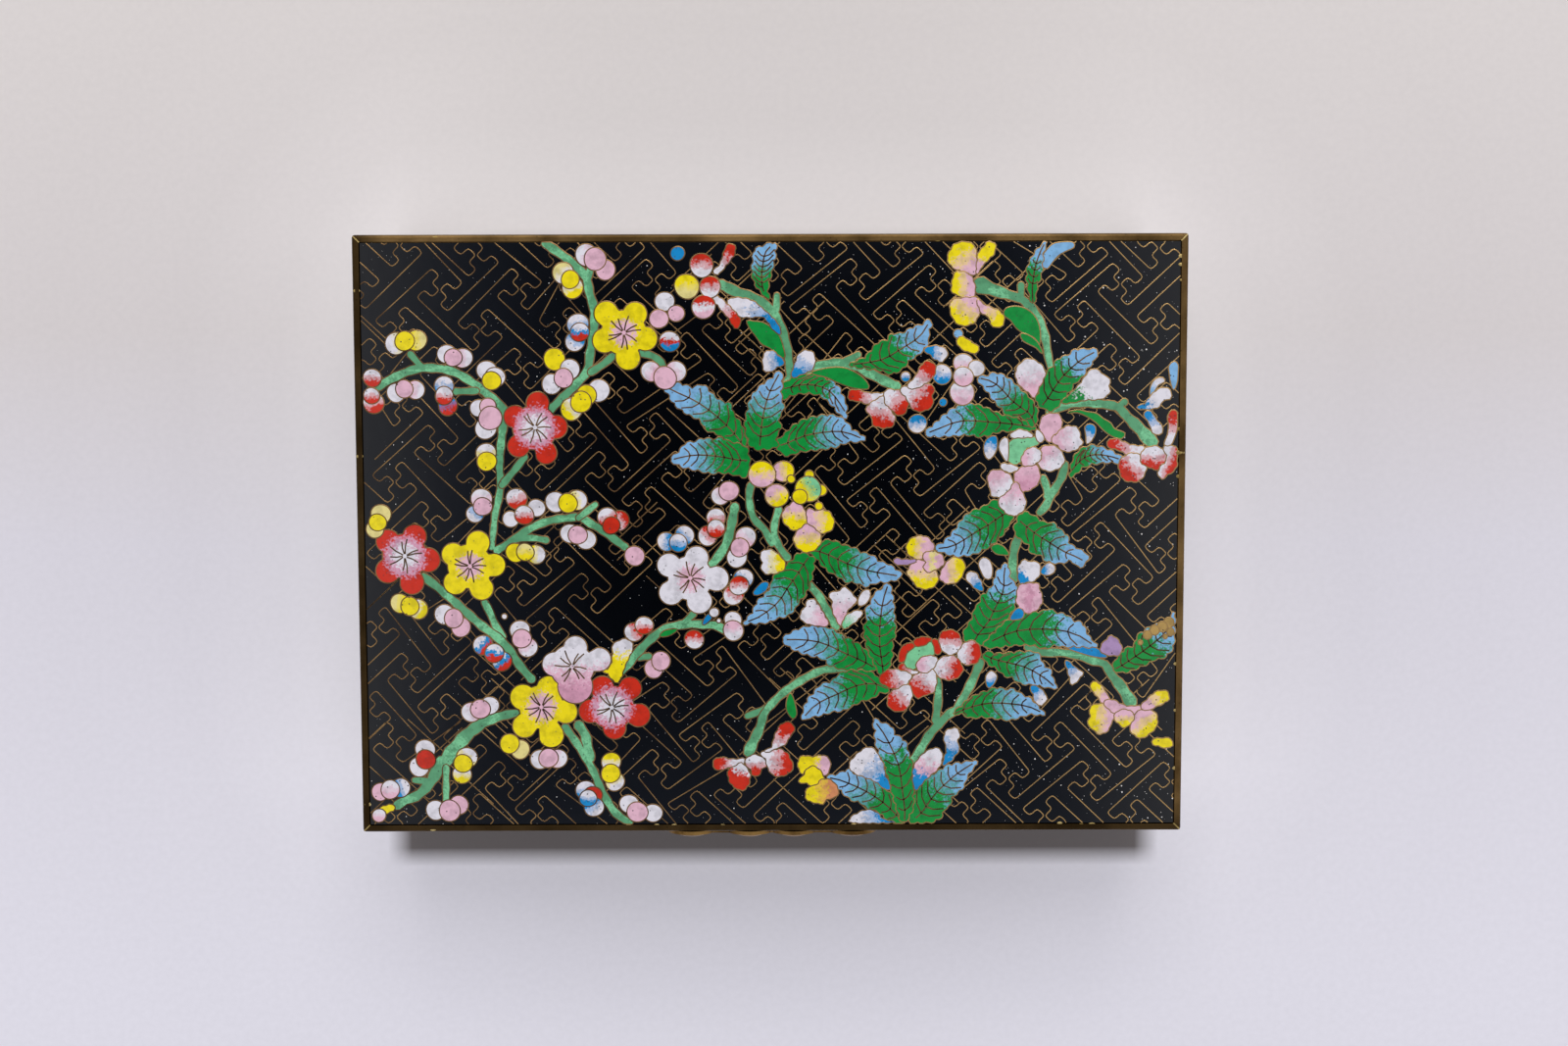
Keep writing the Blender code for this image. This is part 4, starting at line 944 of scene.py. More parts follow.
class Bench:
    """Turns lists of cells and wires into mesh pieces."""

    def __init__(self, sizes: Inlay) -> None:
        """Take the inlay's sizes."""
        self.sizes = sizes

    def level_top(self, level: float) -> float:
        """Give the height of a level's enamel above the panel's face.

        Args:
            level: The level's number.

        Returns:
            The height in millimetres.
        """
        return self.sizes.first_top + self.sizes.level_rise * level

    @staticmethod
    def _to_mesh(name: str, curve: bpy.types.Curve) -> bpy.types.Object:
        """Turn a curve into a mesh of its own.

        Args:
            name: The name of the mesh.
            curve: The curve.

        Returns:
            The mesh's object.
        """
        bpy.ops.object.select_all(action="DESELECT")
        obj = bpy.data.objects.new(name, curve)
        bpy.context.collection.objects.link(obj)
        obj.select_set(True)
        bpy.context.view_layer.objects.active = obj
        bpy.ops.object.convert(target="MESH")
        return bpy.context.view_layer.objects.active

    def cell(
        self, outline: Sequence[Point], level: float, colours: Sequence[Colour], tone: Tone
    ) -> bpy.types.Object:
        """Fill one closed outline with enamel.

        Args:
            outline: The cell's edge.
            level: The height level.
            colours: The colours near, halfway and far along the cell.
            tone: Gives the place of a point along the colours as (u, v).

        Returns:
            The cell's mesh.
        """
        top = self.level_top(level)
        curve = bpy.data.curves.new("cell", "CURVE")
        curve.dimensions = "2D"
        curve.fill_mode = "BOTH"
        curve.extrude = (top - self.sizes.cell_floor) / 2
        spline = curve.splines.new("POLY")
        spline.points.add(len(outline) - 1)
        for point, (x, y) in zip(spline.points, outline):
            point.co = (x, y, 0, 1)
        spline.use_cyclic_u = True
        obj = self._to_mesh("cell", curve)
        mesh = obj.data
        lift = (top + self.sizes.cell_floor) / 2
        for vertex in mesh.vertices:
            vertex.co.z += lift
        for old in list(mesh.uv_layers):
            mesh.uv_layers.remove(old)
        layer = mesh.uv_layers.new(name="tone")
        for loop in mesh.loops:
            co = mesh.vertices[loop.vertex_index].co
            layer.data[loop.index].uv = tone(co.x, co.y)
        for name, colour in zip(("near", "middle", "far"), colours):
            attribute = mesh.color_attributes.new(name, "FLOAT_COLOR", "CORNER")
            for item in attribute.data:
                item.color = colour
        return obj

    def wires(
        self, name: str, routes: Sequence[Tuple[Sequence[Point], float, bool]], width: float
    ) -> bpy.types.Object:
        """Bend flat wires along routes.

        Args:
            name: The piece's name.
            routes: Each wire's points, the height of its top and whether it is a ring.
            width: The wire's width.

        Returns:
            The wires as one mesh.
        """
        profile = bpy.data.curves.new("wire profile", "CURVE")
        profile.dimensions = "2D"
        half, flat = width / 2, width / 2 - self.sizes.wire_bevel
        deep, shoulder = -self.sizes.wire_deep, -self.sizes.wire_shoulder
        shape = [
            (-half, deep), (half, deep), (half, shoulder), (flat, 0.0), (-flat, 0.0), (-half, shoulder)
        ]
        ring = profile.splines.new("POLY")
        ring.points.add(len(shape) - 1)
        for point, (x, y) in zip(ring.points, shape):
            point.co = (x, y, 0, 1)
        ring.use_cyclic_u = True
        guide = bpy.data.objects.new("wire profile", profile)
        bpy.context.collection.objects.link(guide)
        curve = bpy.data.curves.new(name, "CURVE")
        curve.dimensions = "3D"
        curve.twist_mode = "Z_UP"
        curve.bevel_mode = "OBJECT"
        curve.bevel_object = guide
        curve.use_fill_caps = True
        for points, top, closed in routes:
            spline = curve.splines.new("POLY")
            spline.points.add(len(points) - 1)
            for point, (x, y) in zip(spline.points, points):
                point.co = (x, y, top, 1)
            spline.use_cyclic_u = closed
        obj = self._to_mesh(name, curve)
        for old in list(obj.data.uv_layers):
            obj.data.uv_layers.remove(old)
        bpy.data.objects.remove(guide)
        return obj

    @staticmethod
    def joined(name: str, parts: Sequence[bpy.types.Object]) -> bpy.types.Object:
        """Join meshes into one piece.

        Args:
            name: The piece's name.
            parts: The meshes.

        Returns:
            The joined piece.
        """
        bpy.ops.object.select_all(action="DESELECT")
        for part in parts:
            part.select_set(True)
        bpy.context.view_layer.objects.active = parts[0]
        if len(parts) > 1:
            bpy.ops.object.join()
        obj = bpy.context.view_layer.objects.active
        obj.name = name
        obj.data.name = name
        return obj


class Palette:
    """The enamel colours that the maker has in pots."""

    POTS: Dict[str, str] = {
        "x": "#b08f4e",
        "w": "#dedbe1",
        "c": "#e2d488",
        "y": "#ecd80a",
        "k": "#dfb2c2",
        "p": "#cf96ac",
        "r": "#c62a12",
        "b": "#0f86c4",
        "t": "#7fb2da",
        "g": "#0b8c38",
        "s": "#5a9c70",
        "m": "#7cc894",
        "l": "#a98bb4",
        "o": "#d08a5c",
    }

    @classmethod
    def run(cls, letters: str) -> List[Colour]:
        """Spread a few pot letters over the three places of a cell.

        Args:
            letters: One to three letters.

        Returns:
            The colours near, halfway and far.
        """
        pots = [linear(cls.POTS[letter]) for letter in letters]
        if len(pots) == 1:
            return [pots[0]] * 3
        if len(pots) == 2:
            middle = tuple((a + b) / 2 for a, b in zip(pots[0], pots[1]))
            return [pots[0], middle, pots[1]]
        return pots[:3]


class Garden:
    """Lays the flowers, leaves and stems of the lid."""

    def __init__(self, sizes: Inlay, bench: Bench) -> None:
        """Take the sizes and the bench, and start with no cells and no wires."""
        self.sizes = sizes
        self.bench = bench
        self.cells: Dict[str, List[bpy.types.Object]] = {
            "stem": [], "leaf": [], "blossom": [], "petal": [], "bud": []
        }
        self.edges: List[Tuple[Sequence[Point], float, bool]] = []
        self.veins: List[Tuple[Sequence[Point], float, bool]] = []

    def _edge(self, outline: Sequence[Point], level: float) -> None:
        """Note the wire that rings a cell."""
        self.edges.append((outline, self.bench.level_top(level) - self.sizes.wire_drop, True))

    def _along(self, outline: Sequence[Point], heading: float) -> Tone:
        """Give a function from a place to how far along the heading it lies, from 0 to 1."""
        way = (math.cos(math.radians(heading)), math.sin(math.radians(heading)))
        reach = [x * way[0] + y * way[1] for x, y in outline]
        low, span = min(reach), max(reach) - min(reach)
        return lambda x, y: ((x * way[0] + y * way[1] - low) / span, 0.0)

    def _inside(self, outline: Sequence[Point]) -> List[Point]:
        """Hold an outline within the lid's enamel."""
        wide, deep = self.sizes.half_width, self.sizes.half_depth
        return [(max(-wide, min(wide, x)), max(-deep, min(deep, y))) for x, y in outline]

    def stem(self, item: Stem, index: int) -> None:
        """Lay one branch.

        Args:
            item: The branch.
            index: Its number, which keeps crossing branches apart in height.
        """
        route = smooth(pairs(item.route), False, 0.9)
        count = len(route)
        left: List[Point] = []
        right: List[Point] = []
        for i, (x, y) in enumerate(route):
            a, b = route[max(i - 1, 0)], route[min(i + 1, count - 1)]
            run = Vector((b[0] - a[0], b[1] - a[1])).normalized()
            place = i / (count - 1) * (len(item.widths) - 1)
            low = min(int(place), len(item.widths) - 2) if len(item.widths) > 1 else 0
            high = min(low + 1, len(item.widths) - 1)
            half = (item.widths[low] + (item.widths[high] - item.widths[low]) * (place - low)) / 2
            half *= 1 + self.sizes.stem_swell * math.sin(i * 1.9 + index)
            left.append((x - run.y * half, y + run.x * half))
            right.append((x + run.y * half, y - run.x * half))
        caps = []
        for (x, y), (bx, by) in ((route[-1], route[-2]), (route[0], route[1])):
            run = Vector((x - bx, y - by)).normalized()
            half = item.widths[-1 if (x, y) == route[-1] else 0] / 2
            turned = Vector((-run.y, run.x))
            caps.append(
                [tuple(Vector((x, y)) + (run * c + turned * s) * half)
                for c, s in ((0.7, 0.7), (1, 0), (0.7, -0.7))]
            )
        outline = self._inside(left + caps[0] + right[::-1] + caps[1])
        level = Layer.STEM.value + 0.25 * (index % 4)
        tone = lambda x, y: ((0.5 + 0.5 * math.sin(x * 0.4) * math.cos(y * 0.3)), 0.0)
        self.cells["stem"].append(self.bench.cell(outline, level, Palette.run("sms"), tone))
        self._edge(outline, level)

    def leaf(self, item: Leaf, index: int) -> None:
        """Lay one leaf with its veins.

        Args:
            item: The leaf.
            index: Its number, which sets its height among its neighbours.
        """
        edge = smooth(pairs(item.outline), True)
        if len(item.colours) > 1:
            edge = scalloped(edge, self.sizes.leaf_wave, self.sizes.leaf_wave_height)
        outline = self._inside(edge)
        level = Layer.LEAF.value + index % 3 + 0.07 * (index % 5)
        run = Vector((item.tip[0] - item.base[0], item.tip[1] - item.base[1]))
        heading = math.degrees(math.atan2(run.y, run.x))
        self.cells["leaf"].append(
            self.bench.cell(outline, level, Palette.run(item.colours), self._along(outline, heading))
        )
        self._edge(outline, level)
        if len(item.colours) < 2 or run.length < self.sizes.plain_leaf:
            return
        top = self.bench.level_top(level) + self.sizes.vein_rise
        base, across = Vector(item.base), Vector((-run.y, run.x)).normalized()
        rib: List[Vector] = []
        for t in (0.02, 0.1, 0.2, 0.31, 0.42, 0.53, 0.64, 0.75, 0.86, 0.96):
            foot = base + run * t
            cuts = self._cuts(outline, foot, across)
            if len(cuts) > 1:
                rib.append(foot + across * (min(cuts) + max(cuts)) / 2)
        spine = [rib[0]] + [(a + b * 2 + c) / 4 for a, b, c in zip(rib, rib[1:], rib[2:])] + [rib[-1]]
        self.veins.append(([tuple(p) for p in spine], top, False))
        for start in spine[1:-2]:
            for side in (1, -1):
                lean = (run.normalized() * self.sizes.vein_lean + across * side).normalized()
                reach = self._reach(outline, start, lean)
                if reach > self.sizes.vein_least:
                    way = lean * (reach - self.sizes.vein_stop)
                    bend = start + way * 0.5 - run.normalized() * 0.12 * reach
                    self.veins.append(([tuple(start), tuple(bend), tuple(start + way)], top, False))

    @staticmethod
    def _cuts(outline: Sequence[Point], start: Vector, way: Vector) -> List[float]:
        """Find where a line cuts an outline.

        Args:
            outline: The outline.
            start: A point on the line.
            way: The line's direction.

        Returns:
            The distances of the cuts from the start.
        """
        found = []
        for a, b in zip(outline, list(outline[1:]) + [outline[0]]):
            edge = (b[0] - a[0], b[1] - a[1])
            cross = way.x * edge[1] - way.y * edge[0]
            if abs(cross) < 1e-9:
                continue
            if 0 <= ((a[0] - start.x) * way.y - (a[1] - start.y) * way.x) / cross <= 1:
                found.append(((a[0] - start.x) * edge[1] - (a[1] - start.y) * edge[0]) / cross)
        return found

    def _reach(self, outline: Sequence[Point], start: Vector, way: Vector) -> float:
        """Find how far a line runs before it meets an outline, or 0 where it never does."""
        return min((cut for cut in self._cuts(outline, start, way) if cut > 0.05), default=0.0)

    def blossom(self, item: Blossom, index: int) -> None:
        """Lay one blossom with its stamens.

        Args:
            item: The blossom.
            index: Its number, which sets its height.
        """
        cx, cy = item.centre
        outline: List[Point] = []
        for k in range(self.sizes.blossom_points):
            angle = 2 * math.pi * k / self.sizes.blossom_points
            way = (math.cos(angle), math.sin(angle))
            best = self.sizes.blossom_heart
            for x, y, radius in item.petals:
                r = radius - self.sizes.outline_width / 2
                along = (x - cx) * way[0] + (y - cy) * way[1]
                off = (x - cx) ** 2 + (y - cy) ** 2 - along**2
                if along > 0 and off < r * r:
                    best = max(best, along + math.sqrt(r * r - off))
            outline.append((cx + way[0] * best, cy + way[1] * best))
        outline = self._inside(outline)
        level = Layer.FLOWER.value + index % 3 + 0.05 * index
        reach = max(math.dist(p, item.centre) for p in outline)
        tone = lambda x, y: ((x - cx) / reach, (y - cy) / reach)
        if item.heading is not None:
            tone = self._along(outline, item.heading)
        self.cells["blossom"].append(self.bench.cell(outline, level, Palette.run(item.colours), tone))
        self._edge(outline, level)
        top = self.bench.level_top(level) + self.sizes.vein_rise
        for k in range(item.stamens):
            angle = 2 * math.pi * (k + 0.3 * math.sin(k * 2.7 + index)) / item.stamens
            far = self.sizes.stamen_reach + 0.25 * math.sin(k * 3.1 + index)
            way = Vector((math.cos(angle), math.sin(angle)))
            start, end = Vector(item.centre) + way * 0.35, Vector(item.centre) + way * far
            side = Vector((-way.y, way.x)) * 0.12
            self.veins.append(([tuple(start), tuple((start + end) / 2 + side), tuple(end)], top, False))

    def petal(self, item: Cell, level: float) -> None:
        """Lay one petal or drop.

        Args:
            item: The cell.
            level: Its height level.
        """
        edge = smooth(pairs(item.outline), True)
        spread = max(x for x, _ in edge) - min(x for x, _ in edge)
        if spread > self.sizes.plain_petal:
            edge = scalloped(edge, self.sizes.petal_wave, self.sizes.petal_wave_height)
        outline = self._inside(edge)
        tone = self._along(outline, item.heading)
        self.cells["petal"].append(self.bench.cell(outline, level, Palette.run(item.colours), tone))
        self._edge(outline, level)

    def bud(self, item: Bud, index: int) -> None:
        """Lay one bud of overlapping discs.

        Args:
            item: The bud.
            index: Its number.
        """
        front = item.discs[-1]
        for k, (x, y, radius, letters) in enumerate(item.discs):
            r = radius - self.sizes.outline_width / 2
            outline = []
            for j in range(self.sizes.bud_points):
                angle = 2 * math.pi * j / self.sizes.bud_points
                swell = r * (1 + 0.025 * math.sin(2 * angle + index) + 0.015 * math.sin(3 * angle + k))
                outline.append((x + swell * math.cos(angle), y + swell * math.sin(angle)))
            outline = self._inside(outline)
            level = Layer.BUD.value + 0.55 * min(k, 5) + 0.02 * (index % 7)
            heading = -90.0
            if (x, y) != front[:2]:
                heading = math.degrees(math.atan2(front[1] - y, front[0] - x))
            self.cells["bud"].append(
                self.bench.cell(outline, level, Palette.run(letters), self._along(outline, heading))
            )
            self._edge(outline, level)


def scale_for(size_mm: float) -> float:
    """Give the scale of a texture whose grains are about this many millimetres across."""
    return 1 / (size_mm * MM)


class Nodes:
    """Adds shader nodes to one material or world."""

    def __init__(self, tree: bpy.types.NodeTree) -> None:
        """Take a node tree and empty it."""
        self.tree = tree
        tree.nodes.clear()

    def add(
        self, kind: str, *values: object, out: object = 0, stops: Sequence = (), **named: object
    ) -> object:
        """Add one node, set it and link what comes in.

        Args:
            kind: The node's type name, without the ShaderNode before it.
            values: Values or output sockets for its first inputs.
            out: The number or name of the output to give back.
            stops: For a ramp, its places, each with a #rrggbb colour or a grey.
            named: Settings in small letters, and inputs by their names with underscores for spaces.

        Returns:
            The output socket, or None where the node has none.
        """
        node = self.tree.nodes.new("ShaderNode" + kind)
        inputs = list(zip(node.inputs, values))
        for key, value in named.items():
            if key[0].isupper():
                inputs.append((node.inputs[key.replace("_", " ")], value))
            else:
                setattr(node, key, value)
        for socket, value in inputs:
            if isinstance(value, bpy.types.NodeSocket):
                self.tree.links.new(value, socket)
            else:
                socket.default_value = value
        if stops:
            elements = node.color_ramp.elements
            while len(elements) < len(stops):
                elements.new(0.5)
            for element, (place, value) in zip(elements, stops):
                element.position = place
                element.color = linear(value) if isinstance(value, str) else (value, value, value, 1)
        return node.outputs[out] if node.outputs else None


@dataclass(frozen=True)
class BrassFinish:
    """A brass surface: its clean and tarnished colours and its polish."""

    name: str
    clean: str
    tarnish: str
    dark: str
    roughness: float = 0.34
    patch_mm: float = 9.0
    # how strongly the left side and the front are painted darker, as shade
    painted_edge_shade: float = 0.0
    # how much the metal is painted brighter towards the right, as sheen
    painted_sheen_right: float = 0.0
    bright: str = "#e0b878"

    def build(self) -> bpy.types.Material:
        """Make the material.

        Returns:
            The material.
        """
        material = bpy.data.materials.new(self.name)
        material.use_nodes = True
        n = Nodes(material.node_tree)
        # patches where handling has kept the metal bright, and brown oxide between them
        patches = n.add(
            "TexNoise", n.add("TexCoord", out="Object"), Scale=scale_for(self.patch_mm), Detail=4.0
        )
        colour = n.add("ValToRGB", patches, stops=((0.36, self.tarnish), (0.62, self.clean)))
        # small pits from the stoning, filled with dark residue
        pits = n.add(
            "ValToRGB",
            n.add("TexVoronoi", n.add("TexCoord", out="Object"), Scale=scale_for(1.1)),
            stops=((0.06, 1.0), (0.16, 0.0)),
        )
        grain = n.add("TexNoise", n.add("TexCoord", out="Object"), Scale=scale_for(0.35), Detail=2.0)
        # painted shade: the metal is made darker along the left side and the front of the case
        split = n.add("SeparateXYZ", Vector=n.add("TexCoord", out="Object")).node.outputs
        left = n.add("MapRange", Value=split["X"], From_Min=-0.064, From_Max=-0.069)
        front = n.add("MapRange", Value=split["Y"], From_Min=-0.044, From_Max=-0.049)
        painted_shade = n.add(
            "Math",
            n.add("Math", left, front, operation="MAXIMUM"),
            self.painted_edge_shade,
            operation="MULTIPLY",
        )
        colour = n.add("MixRGB", painted_shade, colour, linear(self.dark))
        # painted sheen: the metal is painted brighter towards the lid's right side
        right = n.add("MapRange", Value=split["X"], From_Min=-0.02, From_Max=0.066)
        colour = n.add(
            "MixRGB",
            n.add("Math", right, self.painted_sheen_right, operation="MULTIPLY"),
            colour,
            linear(self.bright),
        )
        pitted = n.add(
            "MixRGB", n.add("Math", pits, 0.55, operation="MULTIPLY"), colour, linear(self.dark)
        )
        final = n.add(
            "MixRGB", n.add("Math", grain, 0.35, operation="MULTIPLY"), pitted, linear(self.dark)
        )
        rough = n.add(
            "Math", self.roughness, n.add("Math", patches, 0.14, operation="MULTIPLY"), operation="ADD"
        )
        # fine scratches and a slightly uneven face, as hand-rubbed sheet has
        normal = n.add(
            "Bump",
            Height=n.add(
                "Math",
                n.add("Math", grain, 0.5, operation="MULTIPLY"),
                n.add("TexNoise", n.add("TexCoord", out="Object"), Scale=scale_for(3.0), Detail=3.0),
                operation="ADD",
            ),
            Strength=0.35,
            Distance=0.05 * MM,
        )
        shader = n.add("BsdfPrincipled", Base_Color=final, Metallic=1.0, Roughness=rough, Normal=normal)
        n.add("OutputMaterial", Surface=shader)
        return material


@dataclass(frozen=True)
class GlazeFinish:
    """The fired black ground glass, with its pinholes and white grit."""

    name: str
    body: str = "#020305"
    cloud: str = "#05070b"
    roughness: float = 0.07
    grit_mm: float = 1.7
    grit_share: float = 0.75

    def build(self) -> bpy.types.Material:
        """Make the material.

        Returns:
            The material.
        """
        material = bpy.data.materials.new(self.name)
        material.use_nodes = True
        n = Nodes(material.node_tree)
        where = n.add("TexCoord", out="Object")
        colour = n.add(
            "MixRGB",
            n.add("TexNoise", where, Scale=scale_for(6.0), Detail=3.0),
            linear(self.body),
            linear(self.cloud),
        )
        # pinholes that polishing grit has filled: they show as small pale specks, thicker to the right
        split = n.add("SeparateXYZ", Vector=where).node.outputs
        right = n.add("MapRange", Value=split["X"], From_Min=-0.03, From_Max=0.06)
        width = n.add("Math", 0.05, n.add("Math", right, 0.03, operation="MULTIPLY"), operation="ADD")
        crowd = n.add(
            "ValToRGB",
            n.add("TexNoise", where, Scale=scale_for(9.0), Detail=2.0),
            stops=((0.3, 0.0), (0.55, 1.0)),
        )
        near = n.add(
            "Math",
            n.add("TexVoronoi", where, Scale=scale_for(self.grit_mm)),
            n.add("Math", width, crowd, operation="MULTIPLY"),
            operation="LESS_THAN",
        )
        thick = n.add("Math", 0.052, n.add("Math", right, 0.04, operation="MULTIPLY"), operation="ADD")
        fine = n.add(
            "Math",
            n.add("TexVoronoi", where, Scale=scale_for(0.75)),
            n.add("Math", thick, crowd, operation="MULTIPLY"),
            operation="LESS_THAN",
        )
        grit = n.add(
            "Math", near, n.add("Math", fine, self.grit_share, operation="MULTIPLY"), operation="MAXIMUM"
        )
        final = n.add("MixRGB", grit, colour, linear("#dcd9d2"))
        rough = n.add(
            "Math", self.roughness, n.add("Math", grit, 0.4, operation="MULTIPLY"), operation="ADD"
        )
        # the glass is slightly wavy where it was stoned flat by hand
        normal = n.add(
            "Bump",
            Height=n.add(
                "Math",
                n.add("TexNoise", where, Scale=scale_for(5.0), Detail=2.0),
                grit,
                operation="SUBTRACT",
            ),
            Strength=0.22,
            Distance=0.03 * MM,
        )
        shader = n.add("BsdfPrincipled", Base_Color=final, Roughness=rough, Normal=normal)
        n.add("OutputMaterial", Surface=shader)
        return material


@dataclass(frozen=True)
class EnamelFinish:
    """Opaque coloured glass packed wet into cells, fired and stoned flat."""

    name: str
    mottle: float = 0.34
    mottle_mm: float = 0.9
    first_border: float = 0.36
    second_border: float = 0.62
    pit_share: float = 0.9
    roughness: float = 0.16

    def build(self) -> bpy.types.Material:
        """Make the material.

        Returns:
            The material.
        """
        material = bpy.data.materials.new(self.name)
        material.use_nodes = True
        n = Nodes(material.node_tree)
        where = n.add("TexCoord", out="Object")
        tone = n.add("UVMap", uv_map="tone")
        length = n.add("VectorMath", tone, operation="LENGTH", out="Value")
        # the wet colours run into each other in grains, so the border is speckled and not smooth
        coarse = n.add(
            "Math",
            n.add(
                "Math",
                n.add("TexNoise", where, Scale=scale_for(self.mottle_mm), Detail=2.0),
                0.5,
                operation="SUBTRACT",
            ),
            self.mottle * 2,
            operation="MULTIPLY",
        )
        fine = n.add(
            "Math",
            n.add(
                "Math",
                n.add("TexNoise", where, Scale=scale_for(0.3), Detail=1.0),
                0.5,
                operation="SUBTRACT",
            ),
            self.mottle * 1.5,
            operation="MULTIPLY",
        )
        place = n.add("Math", length, n.add("Math", coarse, fine, operation="ADD"), operation="ADD")
        pots = [
            n.add("Attribute", attribute_name=name, out="Color") for name in ("near", "middle", "far")
        ]
        start, end = self.first_border, self.second_border
        first = n.add(
            "MixRGB",
            n.add("ValToRGB", place, stops=((start - 0.07, 0.0), (start + 0.07, 1.0))),
            pots[0],
            pots[1],
        )
        colour = n.add(
            "MixRGB",
            n.add("ValToRGB", place, stops=((end - 0.07, 0.0), (end + 0.07, 1.0))),
            first,
            pots[2],
        )
        # each firing leaves a little shade variation and pinholes with dark dirt in them
        shade = n.add(
            "MixRGB",
            1.0,
            colour,
            n.add(
                "ValToRGB",
                n.add("TexNoise", where, Scale=scale_for(1.3), Detail=4.0),
                stops=((0.32, 0.74), (0.56, 1.0)),
            ),
            blend_type="MULTIPLY",
        )
        pits = n.add(
            "ValToRGB",
            n.add("TexVoronoi", where, Scale=scale_for(0.95)),
            stops=((0.11, 1.0), (0.16, 0.0)),
        )
        rare = n.add(
            "ValToRGB",
            n.add("TexNoise", where, Scale=scale_for(1.9), Detail=1.0),
            stops=((0.4, 0.0), (0.46, 1.0)),
        )
        pitted = n.add(
            "Math", n.add("Math", pits, rare, operation="MULTIPLY"), self.pit_share, operation="MULTIPLY"
        )
        final = n.add("MixRGB", pitted, shade, linear("#17120f"))
        rough = n.add(
            "Math", self.roughness, n.add("Math", pitted, 0.4, operation="MULTIPLY"), operation="ADD"
        )
        normal = n.add(
            "Bump",
            Height=n.add(
                "Math",
                n.add("TexNoise", where, Scale=scale_for(2.0), Detail=2.0),
                pitted,
                operation="SUBTRACT",
            ),
            Strength=0.25,
            Distance=0.03 * MM,
        )
        shader = n.add("BsdfPrincipled", Base_Color=final, Roughness=rough, Normal=normal)
        n.add("OutputMaterial", Surface=shader)
        return material


@dataclass(frozen=True)
class CounterFinish:
    """The turquoise counter enamel inside and underneath, speckled where it was sifted thin."""

    name: str
    body: str = "#1f8fa6"
    deep: str = "#176f86"

    def build(self) -> bpy.types.Material:
        """Make the material.

        Returns:
            The material.
        """
        material = bpy.data.materials.new(self.name)
        material.use_nodes = True
        n = Nodes(material.node_tree)
        where = n.add("TexCoord", out="Object")
        colour = n.add(
            "MixRGB",
            n.add("TexNoise", where, Scale=scale_for(4.0), Detail=5.0),
            linear(self.deep),
            linear(self.body),
        )
        # sifted glass leaves darker grains and tiny pinholes, and a faint orange-peel surface
        grains = n.add(
            "ValToRGB", n.add("TexVoronoi", where, Scale=scale_for(1.3)), stops=((0.08, 1.0), (0.2, 0.0))
        )
        final = n.add(
            "MixRGB", n.add("Math", grains, 0.5, operation="MULTIPLY"), colour, linear("#0d3a48")
        )
        rough = n.add("Math", 0.2, n.add("Math", grains, 0.3, operation="MULTIPLY"), operation="ADD")
        normal = n.add(
            "Bump",
            Height=n.add("TexNoise", where, Scale=scale_for(1.5), Detail=3.0),
            Strength=0.4,
            Distance=0.08 * MM,
        )
        shader = n.add("BsdfPrincipled", Base_Color=final, Roughness=rough, Normal=normal)
        n.add("OutputMaterial", Surface=shader)
        return material


